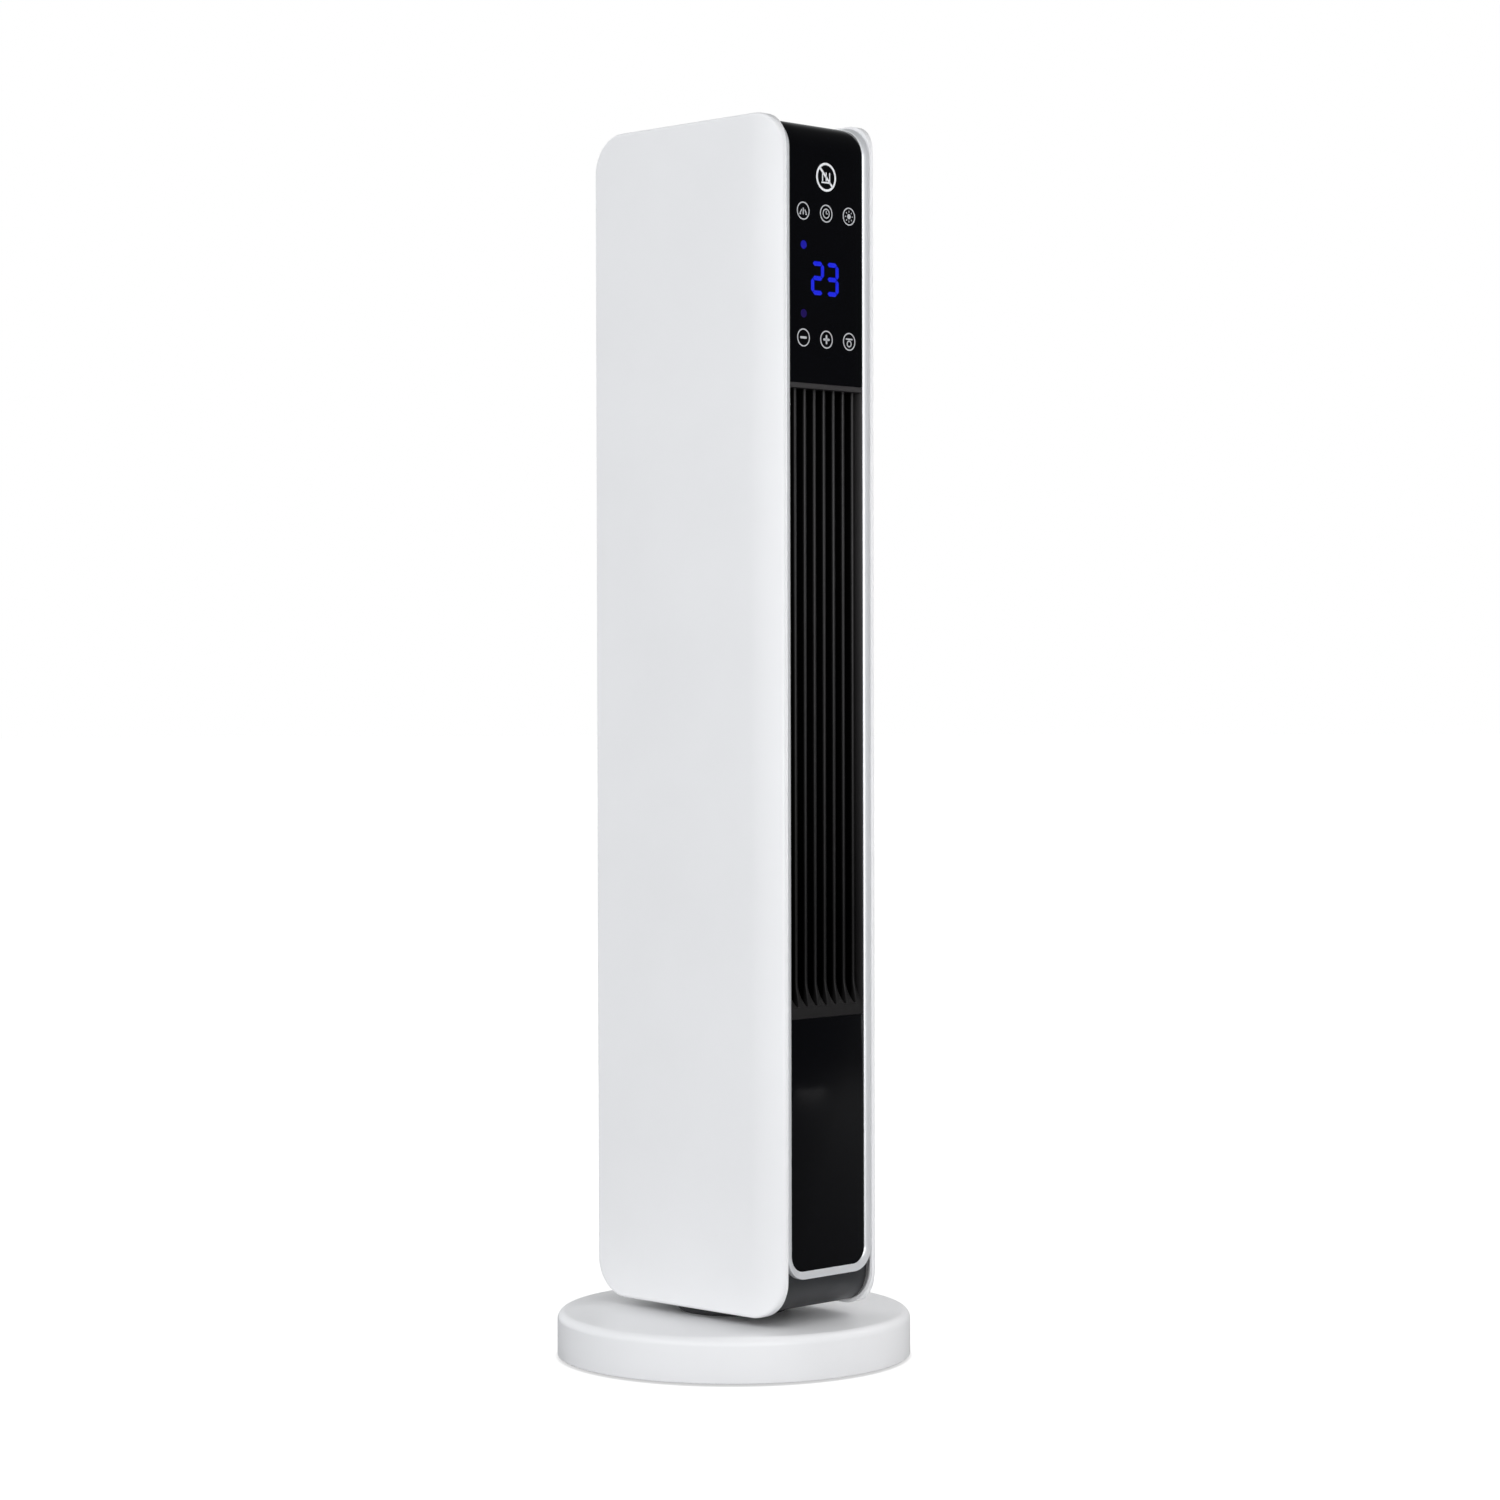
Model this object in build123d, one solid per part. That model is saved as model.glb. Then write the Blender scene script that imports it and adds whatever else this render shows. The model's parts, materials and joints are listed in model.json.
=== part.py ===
"""Oscillating ceramic tower heater, free standing, about 240 x 240 x 830 mm.

Frame: origin on the floor under the centre of the round base, +Z up.
The outlet and the touch panel face -Y, and the air intake faces +Y.
"""
import os
from math import acos, cos, pi, radians, sin, sqrt, tan

from build123d import *

# ---------------------------------------------------------------- driving dimensions, mm
# round base
BASE_R = 120.0
BASE_RIM_Z = 1.5
BASE_TOP = 31.5
BASE_EDGE_R = 6.0
BASE_WALL = 2.5
PLATE_BOTTOM = 3.0
PLATE_TOP = 5.0
PLATE_GAP = 0.5
INLET_Z = 15.0
INLET_HOLE_R = 6.6
INLET_BORE_R = 3.6
INLET_FACE_Y = 119.2

# tower
TOWER_TOP = 830.5
PANEL_BOTTOM = 38.0
PANEL_OUT = 49.8
PANEL_IN = 40.35
PANEL_FRONT = -91.3
PANEL_REAR = 82.3
PANEL_CORNER = 26.0
PANEL_BROW_R = 20.0
PANEL_WALL = 2.5
PANEL_EDGE_R = 2.0
CROWN_START = 25.3
CROWN_R = 57.0

# inner casing between the two side panels
CASE_FRONT = -86.1
CASE_REAR = 79.0
CASE_BOTTOM = 40.0
CASE_TOP = 824.6
CASE_WALL = 2.2
CASE_SPLIT_Y = 0.0
CASE_TOP_R = 17.2
CASE_FOOT_R = 23.0
CASE_REAR_R = 22.0

# front skins
FASCIA_THICK = 2.8
FASCIA_HALF = 34.8
FASCIA_BOTTOM = 68.15
FASCIA_CORNER = 11.0
FASCIA_BACK_Y = 45.0
TRIM_THICK = 4.7
TRIM_OUT = 40.0
TRIM_IN = 34.95
TRIM_BOTTOM = 63.4
TRIM_CORNER = 15.0
TRIM_BEVEL = 1.7
COVER_TOP = 82.0
COVER_BACK_Y = -58.0
SKIN_GAP = 0.1

# air outlet and its grille
OUTLET_LOW = 235.0
OUTLET_HIGH = 654.3
SLOT_COUNT = 7
SLOT_PITCH = 9.19
VANE_WIDTH = 2.0
VANE_RECESS = 5.9
GRILLE_HALF = 34.0
GRILLE_BACK = -68.0
GRILLE_RAMP_LOW = 243.0
GRILLE_RAMP_HIGH = 255.5
GRILLE_LIP = 3.4
GRILLE_TIES_Z = (372.0, 512.0)

# swivel drive
HUB_R = 24.0
HUB_BORE_R = 13.0
TABLE_R = 38.0
TABLE_BOTTOM = 32.6
GEAR_MODULE = 1.5
GEAR_TEETH = 60
PINION_TEETH = 15
GEAR_BACKLASH = 0.3
PRESSURE_ANGLE = radians(20)
GEAR_BOTTOM = 7.5
GEAR_TOP = 12.5
MOTOR_R = 25.0
MOTOR_BOTTOM = 14.0
MOTOR_EAR_Z = (22.5, 24.0)
BUSH_OUT = 27.0
SLEEVE_OUT = 29.6
SLEEVE_LOW = 20.0
RUN_GAP = 0.3

# blower
ROTOR_Y = 30.0
ROTOR_R = 27.0
ROTOR_LOW = 246.0
ROTOR_HIGH = 646.0
BLADE_COUNT = 24
DUCT_LOW = 243.0
DUCT_HIGH = 650.0
DUCT_WALL = 1.6
DUCT_PLATE = 2.0
SHAFT_R = 3.0
BEARING_GAP = 0.08
PRESS_GAP = 0.02
BLOWER_MOTOR_R = 27.0
MOTOR_CAN = (192.0, 224.0)
MOTOR_CAP = 3.0

# ceramic heating element
PTC_LOW = 258.0
PTC_HIGH = 632.0
PTC_FRONT = -60.0
PTC_BACK = -46.0
PTC_BAR_X = 14.3
FIN_PITCH = 8.5

# touch panel
BOARD_LOW = 670.0
BOARD_HIGH = 806.0
BOARD_Y = -83.6
BOARD_THICK = 1.6
KEY_X = 21.9
KEY_ROWS = (767.0, 683.8)
LOCK_KEY_Z = 791.0

# power board
POWER_Y = -12.0
POWER_LOW = 66.0
POWER_HIGH = 180.0

# rear: filter, handle and main switch
FILTER_LOW = 240.0
FILTER_HIGH = 650.0
FILTER_HALF = 33.0
FILTER_FACE = 80.2
HANDLE_LOW = 742.0
HANDLE_HIGH = 782.0
HANDLE_HALF = 28.0
HANDLE_DEPTH = 24.0
SWITCH_Z = 104.0
SWITCH_PIVOT_Y = 74.0
SWITCH_REST_TILT = 10.0
ROCKER_HALF_X = 6.6
ROCKER_HALF_Z = 9.5
CAVITY_HALF_Z = 11.6

# fasteners and feet
SCREW_R = 1.5
HEAD_R = 3.2
HEAD_H = 2.0
DRILL_GAP = 0.1
HOUSING_SCREW_X = 33.6
HOUSING_SCREW_Z = (58.0, 228.0, 664.0, 806.0)
PANEL_SCREWS_Y = (-45.0, 45.0)
PANEL_SCREWS_Z = (110.0, 434.0, 760.0)
BOSS_R = 5.2
BOSS_SEAT_Y = 13.0
BOSS_JOINT_Y = 6.0
WELL_R = 3.9
FOOT_R = 9.0
FOOT_RING_R = 100.0
PLUNGER_X = 78.0

GEAR_CENTRES = GEAR_MODULE * (GEAR_TEETH + PINION_TEETH) / 2
MOTOR_X = -GEAR_CENTRES
SKIN_BACK = CASE_FRONT - SKIN_GAP
EXTRA = 1.0
OVER = 200.0
NODES = {}


# ---------------------------------------------------------------- small helpers
def block(x, y, z):
    """Box from three (low, high) pairs."""
    centre = Pos((x[0] + x[1]) / 2, (y[0] + y[1]) / 2, (z[0] + z[1]) / 2)
    return centre * Box(x[1] - x[0], y[1] - y[0], z[1] - z[0])


def rod(radius, z, x=0.0, y=0.0):
    """Upright cylinder between the two heights in z."""
    return Pos(x, y, (z[0] + z[1]) / 2) * Cylinder(radius, z[1] - z[0])


def tube(outer, inner, z, x=0.0, y=0.0):
    """Upright ring between the two heights in z."""
    return rod(outer, z, x, y) - rod(inner, (z[0] - EXTRA, z[1] + EXTRA), x, y)


def rod_y(radius, y, x, z):
    """Cylinder along Y between the two places in y."""
    turn = Pos(x, (y[0] + y[1]) / 2, z) * Rot(X=90)
    return turn * Cylinder(radius, y[1] - y[0])


def rod_x(radius, x, y, z):
    """Cylinder along X between the two places in x."""
    turn = Pos((x[0] + x[1]) / 2, y, z) * Rot(Y=90)
    return turn * Cylinder(radius, x[1] - x[0])


def outline(low, high, corner_radii):
    """Rectangle from low to high, with a radius at each corner named by its place."""
    width = high[0] - low[0]
    height = high[1] - low[1]
    face = Pos((low[0] + high[0]) / 2, (low[1] + high[1]) / 2) * Rectangle(width, height)
    for place, radius in corner_radii.items():
        corner = face.vertices().sort_by_distance((place[0], place[1], 0))[0]
        face = fillet(corner, radius)
    return face


def side_extrude(face, x_low, x_high):
    """Extrude a face drawn in (Y, Z) from x_low to x_high."""
    return extrude(Plane.YZ.offset(x_low) * face, x_high - x_low)


def polar(radius, degrees):
    return (radius * cos(radians(degrees)), radius * sin(radians(degrees)))


def group(pieces):
    return Compound(children=list(pieces))


# ---------------------------------------------------------------- fasteners
def screw_down(x, y, seat_z, length):
    """Upright pan-head screw whose head rests on seat_z, with its shank below."""
    head = rod(HEAD_R, (seat_z, seat_z + HEAD_H), x, y)
    recess = Pos(x, y, seat_z + HEAD_H) * Box(HEAD_R, HEAD_H / 4, HEAD_H / 2)
    return head + rod(SCREW_R, (seat_z - length, seat_z), x, y) - recess


def screw_up(x, y, seat_z, length):
    """The same screw driven from below."""
    head = rod(HEAD_R, (seat_z - HEAD_H * 0.8, seat_z), x, y)
    recess = Pos(x, y, seat_z - HEAD_H * 0.8) * Box(HEAD_R, HEAD_H / 4, HEAD_H / 2)
    return head + rod(SCREW_R, (seat_z, seat_z + length), x, y) - recess


def screw_front(x, z, seat_y, length):
    """Screw along -Y whose head rests on seat_y and faces the rear."""
    head = rod_y(HEAD_R, (seat_y, seat_y + HEAD_H), x, z)
    recess = Pos(x, seat_y + HEAD_H, z) * Box(HEAD_R, HEAD_H / 2, HEAD_H / 4)
    return head + rod_y(SCREW_R, (seat_y - length, seat_y), x, z) - recess


def drill(x, y, z):
    return rod(SCREW_R + DRILL_GAP, z, x, y)


def base_screw_places():
    return [polar(104.0, angle) for angle in (45, 135, 225, 315)]


def table_screw_places():
    return [(x, y) for x in (-24.0, 24.0) for y in (-18.0, 18.0)]


def gear_screw_places():
    return [polar(18.5, angle) for angle in (30, 150, 270)]


def motor_screw_places():
    return [(MOTOR_X, side * 29.5) for side in (-1, 1)]


# ---------------------------------------------------------------- base
def base_cover():
    """White round cover: one deep moulded tray with bosses and the swivel sleeve."""
    outer = rod(BASE_R, (BASE_RIM_Z, BASE_TOP))
    outer = fillet(outer.edges().group_by(Axis.Z)[-1], BASE_EDGE_R)
    inner_r = BASE_R - BASE_WALL
    inner = rod(inner_r, (BASE_RIM_Z - EXTRA, BASE_TOP - BASE_WALL))
    inner = fillet(inner.edges().group_by(Axis.Z)[-1], BASE_EDGE_R - BASE_WALL)
    cover = outer - inner
    deck = BASE_TOP - BASE_WALL
    cover += rod(SLEEVE_OUT, (SLEEVE_LOW, deck + EXTRA))
    cover -= rod(BUSH_OUT + 0.05, (BASE_RIM_Z, BASE_TOP + EXTRA))
    for x, y in base_screw_places():
        cover += rod(4.2, (PLATE_TOP, deck + EXTRA), x, y)
        cover -= drill(x, y, (PLATE_TOP - EXTRA, PLATE_TOP + 12))
    for x, y in motor_screw_places():
        cover += rod(3.8, (MOTOR_EAR_Z[1], deck + EXTRA), x, y)
        cover -= drill(x, y, (MOTOR_EAR_Z[1] - EXTRA, deck - EXTRA / 2))
    for angle in range(0, 360, 60):
        x, y = polar(inner_r - 4.5, angle)
        rib = Pos(x, y, 0) * Rot(Z=angle) * block((-6, 6), (-0.8, 0.8), (12, deck + EXTRA))
        cover += rib & rod(BASE_R - 1, (0, deck + EXTRA))
    return cover - rod_y(INLET_HOLE_R, (100, BASE_R + EXTRA), 0, INLET_Z)


def base_plate():
    """Steel floor plate of the base, with a pressed step under the swivel gear."""
    plate = rod(BASE_R - BASE_WALL - PLATE_GAP, (PLATE_BOTTOM, PLATE_TOP))
    for x, y in base_screw_places():
        plate -= drill(x, y, (0, PLATE_TOP + EXTRA))
    for index in range(4):
        x, y = polar(FOOT_RING_R, index * 90)
        plate -= rod(3.0 + DRILL_GAP, (0, PLATE_TOP + EXTRA), x, y)
    plate -= rod(3.4, (0, PLATE_TOP + EXTRA), PLUNGER_X, 0)
    for angle in range(45, 405, 90):
        x, y = polar(66.0, angle)
        for step in (-8, 0, 8):
            slot = block((x - 12, x + 12), (y + step - 1.5, y + step + 1.5), (0, PLATE_TOP + EXTRA))
            plate -= slot
    return plate


def rubber_feet():
    feet = []
    for index in range(4):
        x, y = polar(FOOT_RING_R, index * 90)
        pad = rod(FOOT_R, (0, PLATE_BOTTOM), x, y)
        pad = chamfer(pad.edges().group_by(Axis.Z)[0], 0.6)
        feet.append(pad + rod(3.0, (PLATE_BOTTOM, PLATE_TOP + 1.2), x, y))
    return group(feet)


def swivel_bush():
    """Acetal bush pressed into the cover's sleeve, round the tower's hub."""
    return tube(BUSH_OUT, HUB_R + RUN_GAP, (SLEEVE_LOW, BASE_TOP))


def thrust_washer():
    return tube(36.0, BUSH_OUT + 0.8, (BASE_TOP, TABLE_BOTTOM - RUN_GAP))


def oscillation_motor():
    """Slow synchronous motor under the deck, with its output pointing down."""
    can = rod(MOTOR_R, (MOTOR_BOTTOM, BASE_TOP - BASE_WALL - 0.5), MOTOR_X)
    can = fillet(can.edges().group_by(Axis.Z)[0], 1.5)
    motor = can + block((MOTOR_X - 5, MOTOR_X + 5), (-33.5, 33.5), MOTOR_EAR_Z)
    for x, y in motor_screw_places():
        motor -= drill(x, y, (10, 28))
    return motor - rod(SHAFT_R + RUN_GAP, (MOTOR_BOTTOM - EXTRA, 20), MOTOR_X)


def tip_switch_holder():
    """Bridge that stands on the floor plate and holds the tip-over switch."""
    holder = block((PLUNGER_X - 11, PLUNGER_X + 11), (-9, 9), (PLATE_TOP, 27))
    holder -= block((PLUNGER_X - 8.2, PLUNGER_X + 8.2), (-10, 10), (PLATE_TOP - 1, 17.2))
    holder -= block((PLUNGER_X - 8.2, PLUNGER_X + 8.2), (-4, 4), (19.0, 28))
    return holder - rod(2.8, (16, 20), PLUNGER_X)


def tip_switch():
    """Microswitch body with its button and three tabs."""
    body = block((PLUNGER_X - 8.0, PLUNGER_X + 8.0), (-3.8, 3.8), (19.6, 27.4))
    for step in (-5.5, 0.0, 5.5):
        x = PLUNGER_X + step
        body += block((x - 0.4, x + 0.4), (-1.6, 1.6), (27.0, 28.6))
    return body + rod(1.2, (18.4, 20), PLUNGER_X)


def inlet_grommet():
    """Rubber grommet for the supply lead, set in the rear of the base."""
    body = rod_y(INLET_HOLE_R - 0.1, (113.0, INLET_FACE_Y), 0, INLET_Z)
    body += rod_y(8.6, (115.0, 117.0), 0, INLET_Z)
    return body - rod_y(INLET_BORE_R, (112, BASE_R), 0, INLET_Z)


def tip_plunger():
    """Push rod that the floor holds up while the heater stands."""
    foot = rod(5.0, (0, 2), PLUNGER_X)
    foot = fillet(foot.edges().group_by(Axis.Z)[0], 0.8)
    plunger = foot + rod(3.0, (2, 10), PLUNGER_X)
    plunger += rod(5.0, (10, 12), PLUNGER_X)
    return plunger + rod(2.2, (12, 18.0), PLUNGER_X)


def plunger_spring():
    """Open coil between the plunger's collar and the switch holder."""
    wire = 0.3
    radius = 3.9
    path = Pos(PLUNGER_X, 0, 12.0 + wire) * Helix(pitch=1.5, height=4.5, radius=radius)
    section = Plane(origin=path @ 0, z_dir=path % 0) * Circle(wire)
    return sweep(section, path=path)


# ---------------------------------------------------------------- swivel drive
def gear_face(teeth, addendum=0.9, dedendum=1.25):
    """Involute spur gear outline, with one tooth centred on +X."""
    pitch_r = GEAR_MODULE * teeth / 2
    ring_r = pitch_r * cos(PRESSURE_ANGLE)
    root_r = pitch_r - dedendum * GEAR_MODULE
    tip_r = pitch_r + addendum * GEAR_MODULE
    half_tooth = pi / (2 * teeth) - GEAR_BACKLASH / (2 * pitch_r)
    opening = tan(PRESSURE_ANGLE) - PRESSURE_ANGLE

    def half_angle(radius):
        roll = acos(min(1.0, ring_r / radius))
        return half_tooth + opening - (tan(roll) - roll)

    start_r = max(root_r, ring_r)
    steps = 4
    flank = [start_r + (tip_r - start_r) * step / steps for step in range(steps + 1)]
    if root_r < ring_r:
        flank.insert(0, root_r)
    points = []
    for tooth in range(teeth):
        centre = 2 * pi * tooth / teeth
        rising = [(r, centre - half_angle(r)) for r in flank]
        falling = [(r, centre + half_angle(r)) for r in reversed(flank)]
        points += [(r * cos(a), r * sin(a)) for r, a in rising + falling]
    return make_face(Polyline(points, close=True))


def swivel_gear():
    """Large gear screwed under the tower's hub, which also holds the tower down."""
    half_pitch = 180 / GEAR_TEETH
    wheel = extrude(Rot(Z=180 + half_pitch) * gear_face(GEAR_TEETH), GEAR_TOP - GEAR_BOTTOM)
    wheel = Pos(0, 0, GEAR_BOTTOM) * wheel
    wheel -= tube(40.0, 26.0, (GEAR_BOTTOM + 2, GEAR_TOP + EXTRA))
    wheel -= rod(HUB_BORE_R, (0, 20))
    for x, y in gear_screw_places():
        wheel -= drill(x, y, (0, 20))
    return wheel


def drive_pinion():
    """Small gear on the motor's output shaft."""
    face = 0.5
    height = GEAR_TOP - GEAR_BOTTOM + 2 * face
    wheel = extrude(gear_face(PINION_TEETH), height)
    wheel = Pos(MOTOR_X, 0, GEAR_BOTTOM - face) * wheel
    return wheel - rod(SHAFT_R + PRESS_GAP, (0, 20), MOTOR_X)


def pinion_shaft():
    return rod(SHAFT_R, (GEAR_BOTTOM - 1.2, 19.5), MOTOR_X)


def turntable():
    """Black swivel disc under the tower, with the hub that turns in the base."""
    disc = rod(TABLE_R, (TABLE_BOTTOM, CASE_BOTTOM))
    disc = fillet(disc.edges().group_by(Axis.Z)[0], 0.8)
    table = disc + rod(HUB_R, (GEAR_TOP, TABLE_BOTTOM + EXTRA))
    table -= rod(HUB_BORE_R, (GEAR_TOP - EXTRA, CASE_BOTTOM + EXTRA))
    for x, y in table_screw_places():
        table -= drill(x, y, (CASE_BOTTOM - 6.5, CASE_BOTTOM + EXTRA))
    for x, y in gear_screw_places():
        table -= drill(x, y, (GEAR_TOP - EXTRA, GEAR_TOP + 9))
    return table


# ---------------------------------------------------------------- side panels
def crown_plan(inset):
    """Plan outline of a side panel: flat outside, drawn in on an arc at the front."""
    drop = CROWN_R - sqrt(CROWN_R ** 2 - CROWN_START ** 2)
    flat_x = PANEL_OUT - inset
    crown_line = (flat_x, PANEL_FRONT + CROWN_START)
    front_edge = (flat_x - drop, PANEL_FRONT)
    rear_edge = (flat_x, PANEL_REAR)
    root_x = PANEL_IN - EXTRA * 2
    lines = [
        TangentArc(crown_line, front_edge, tangent=(0, -1)),
        Line(front_edge, (root_x, PANEL_FRONT)),
        Line((root_x, PANEL_FRONT), (root_x, PANEL_REAR)),
        Line((root_x, PANEL_REAR), rear_edge),
        Line(rear_edge, crown_line),
    ]
    return make_face(lines)


def panel_form(inset, x_low):
    """Solid of a side panel, with every face drawn in by inset."""
    low = (PANEL_FRONT + inset, PANEL_BOTTOM + inset)
    high = (PANEL_REAR - inset, TOWER_TOP - inset)
    corners = {(y, z): PANEL_CORNER - inset for y in (low[0], high[0]) for z in (low[1], high[1])}
    corners[(low[0], high[1])] = PANEL_BROW_R - inset
    form = side_extrude(outline(low, high, corners), x_low, PANEL_OUT - inset)
    plan = extrude(crown_plan(inset), TOWER_TOP + EXTRA)
    return form & plan


def is_rim(edge):
    """True for the panel's outer edge loop, where the face meets the sides."""
    box = edge.bounding_box()
    crown_y = PANEL_FRONT + CROWN_START
    on_crown_line = max(abs(box.min.Y - crown_y), abs(box.max.Y - crown_y)) < SKIN_GAP
    return box.min.X > PANEL_IN + EXTRA and not on_crown_line


def side_panel(side):
    """White moulded side cover: a shallow tray, open towards the casing."""
    form = panel_form(0, PANEL_IN)
    form = fillet([edge for edge in form.edges() if is_rim(edge)], PANEL_EDGE_R)
    panel = form - panel_form(PANEL_WALL, PANEL_IN - EXTRA)
    skin = PANEL_OUT - PANEL_WALL
    for y in PANEL_SCREWS_Y:
        for z in PANEL_SCREWS_Z:
            panel += rod_x(4.0, (PANEL_IN, skin + EXTRA / 2), y, z)
            panel -= rod_x(SCREW_R + DRILL_GAP, (PANEL_IN - EXTRA, skin), y, z)
    for z in (200.0, 320.0, 550.0, 660.0):
        rib = block((PANEL_IN + 2.0, skin + EXTRA / 2), (-70.0, 62.0), (z - 0.8, z + 0.8))
        panel += rib
    return panel if side > 0 else mirror(panel, about=Plane.YZ)


def panel_screws():
    screws = []
    seat = PANEL_IN - CASE_WALL
    for side in (-1, 1):
        for y in PANEL_SCREWS_Y:
            for z in PANEL_SCREWS_Z:
                head = rod_x(HEAD_R, (seat - HEAD_H, seat), y, z)
                shank = rod_x(SCREW_R, (seat, PANEL_OUT - PANEL_WALL - 0.5), y, z)
                screw = head + shank
                screws.append(screw if side > 0 else mirror(screw, about=Plane.YZ))
    return group(screws)


# ---------------------------------------------------------------- inner casing
def case_outline(grow):
    """Side view of the casing in (Y, Z), grown outwards by grow."""
    low = (CASE_FRONT - grow, CASE_BOTTOM - grow)
    high = (CASE_REAR + grow, CASE_TOP + grow)
    corners = {
        (low[0], low[1]): CASE_FOOT_R + grow,
        (low[0], high[1]): CASE_TOP_R + grow,
        (high[0], low[1]): CASE_REAR_R + grow,
        (high[0], high[1]): CASE_REAR_R + grow,
    }
    return outline(low, high, corners)


def case_shell():
    outer = side_extrude(case_outline(0), -PANEL_IN, PANEL_IN)
    half = PANEL_IN - CASE_WALL
    shell = outer - side_extrude(case_outline(-CASE_WALL), -half, half)
    for side in (-1, 1):
        for y in PANEL_SCREWS_Y:
            for z in PANEL_SCREWS_Z:
                shell -= rod_x(SCREW_R + DRILL_GAP, (side * 44 - 10, side * 44 + 10), y, z)
    for x, y in table_screw_places():
        shell -= drill(x, y, (CASE_BOTTOM - EXTRA, CASE_BOTTOM + CASE_WALL + EXTRA))
    return shell - rod(HUB_BORE_R, (CASE_BOTTOM - EXTRA, CASE_BOTTOM + CASE_WALL + EXTRA))


def front_frame(shell):
    """Black moulded front half of the casing, which carries the skins and the grille."""
    frame = shell & block((-OVER, OVER), (-OVER, CASE_SPLIT_Y), (0, TOWER_TOP))
    foot_zone = block((-OVER, OVER), (-OVER, COVER_BACK_Y), (0, COVER_TOP + 0.2))
    frame -= foot_zone
    frame -= block((-34.6, 34.6), (-OVER, -70), (OUTLET_LOW + 1.4, OUTLET_HIGH - 1.4))
    frame -= block((-32.0, 32.0), (-OVER, -70), (BOARD_LOW + 4, BOARD_HIGH - 6))
    for x in (-HOUSING_SCREW_X, HOUSING_SCREW_X):
        for z in HOUSING_SCREW_Z:
            boss = rod_y(BOSS_R, (-20, BOSS_JOINT_Y), x, z)
            frame += boss & block((-39, 39), (-OVER, BOSS_JOINT_Y), (0, TOWER_TOP))
            frame -= rod_y(SCREW_R + DRILL_GAP, (-16, BOSS_JOINT_Y + EXTRA), x, z)
    return frame


def rear_housing(shell):
    """Black moulded rear half of the casing, with the intake and deep screw wells."""
    rear = shell & block((-OVER, OVER), (CASE_SPLIT_Y, OVER), (0, TOWER_TOP))
    step_y = FASCIA_BACK_Y + 0.2
    cap = side_extrude(case_outline(FASCIA_THICK), -PANEL_IN, PANEL_IN)
    cap -= side_extrude(case_outline(-CASE_WALL), -PANEL_IN, PANEL_IN)
    cap &= block((-OVER, OVER), (step_y, CASE_REAR - 6), (CASE_TOP - 14, TOWER_TOP))
    rear += cap
    rear += side_extrude(rear_corner_fill(), -PANEL_IN, PANEL_IN)
    for x in (-HOUSING_SCREW_X, HOUSING_SCREW_X):
        for z in HOUSING_SCREW_Z:
            boss = rod_y(BOSS_R, (BOSS_JOINT_Y, CASE_REAR - EXTRA), x, z)
            rear += boss & side_extrude(case_outline(-EXTRA), -39, 39)
    for x in (-HOUSING_SCREW_X, HOUSING_SCREW_X):
        for z in HOUSING_SCREW_Z:
            rear -= rod_y(WELL_R, (BOSS_SEAT_Y, CASE_REAR + EXTRA), x, z)
            rear -= rod_y(SCREW_R + DRILL_GAP, (0, BOSS_SEAT_Y + EXTRA), x, z)
            rear -= rod_y(BOSS_R + 0.2, (CASE_SPLIT_Y - EXTRA, BOSS_JOINT_Y), x, z)
    rear -= rear_window(FILTER_HALF + 0.4, FILTER_LOW - 0.4, FILTER_HIGH + 0.4)
    rear -= rear_window(HANDLE_HALF + 2.4, HANDLE_LOW - 2.4, HANDLE_HIGH + 2.4)
    return rear - rear_window(9.0, SWITCH_Z - 13.6, SWITCH_Z + 13.6)


def rear_window(half, low, high):
    """Block that cuts an opening through the rear wall of the casing."""
    return block((-half, half), (CASE_REAR - 13, OVER), (low, high))


def rear_corner_fill():
    """Side view of the raised rear top edge, which lines up with the top skin."""
    ring = case_outline(FASCIA_THICK) - case_outline(-CASE_WALL)
    front_y = CASE_REAR - CASE_REAR_R + 5.2
    zone = Pos((front_y + CASE_REAR) / 2, CASE_TOP) * Rectangle(CASE_REAR - front_y, 2 * CASE_REAR_R)
    return ring & zone


def lower_front_cover():
    """Dark grey skirt under the silver trim, rolled under the tower."""
    cover = side_extrude(case_outline(0) - case_outline(-FASCIA_THICK), -PANEL_IN, PANEL_IN)
    cover &= block((-OVER, OVER), (-OVER, COVER_BACK_Y - 0.2), (0, COVER_TOP))
    for x in (-30.0, 30.0):
        cover += block((x - 1.5, x + 1.5), (CASE_FRONT + 2, -78), (56, COVER_TOP - 4))
    return cover


def skin_band(grow, y_back, z_low):
    """Side view of a skin that runs up the front and back over the top."""
    band = case_outline(grow) - case_outline(SKIN_GAP)
    height = TOWER_TOP * 2
    keep = Pos(y_back - OVER, z_low + height / 2) * Rectangle(2 * OVER, height)
    return band & keep


def upper_fascia():
    """Gloss black touch panel, which bends back over the top of the tower."""
    band = skin_band(FASCIA_THICK + SKIN_GAP, FASCIA_BACK_Y, OUTLET_HIGH)
    return side_extrude(band, -FASCIA_HALF, FASCIA_HALF)


def lower_fascia():
    """Gloss black panel below the outlet."""
    low = (-FASCIA_HALF, FASCIA_BOTTOM)
    high = (FASCIA_HALF, OUTLET_LOW)
    corners = {low: FASCIA_CORNER, (high[0], low[1]): FASCIA_CORNER}
    face = outline(low, high, corners)
    return extrude(Plane.XZ.offset(-SKIN_BACK) * face, FASCIA_THICK)


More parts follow.
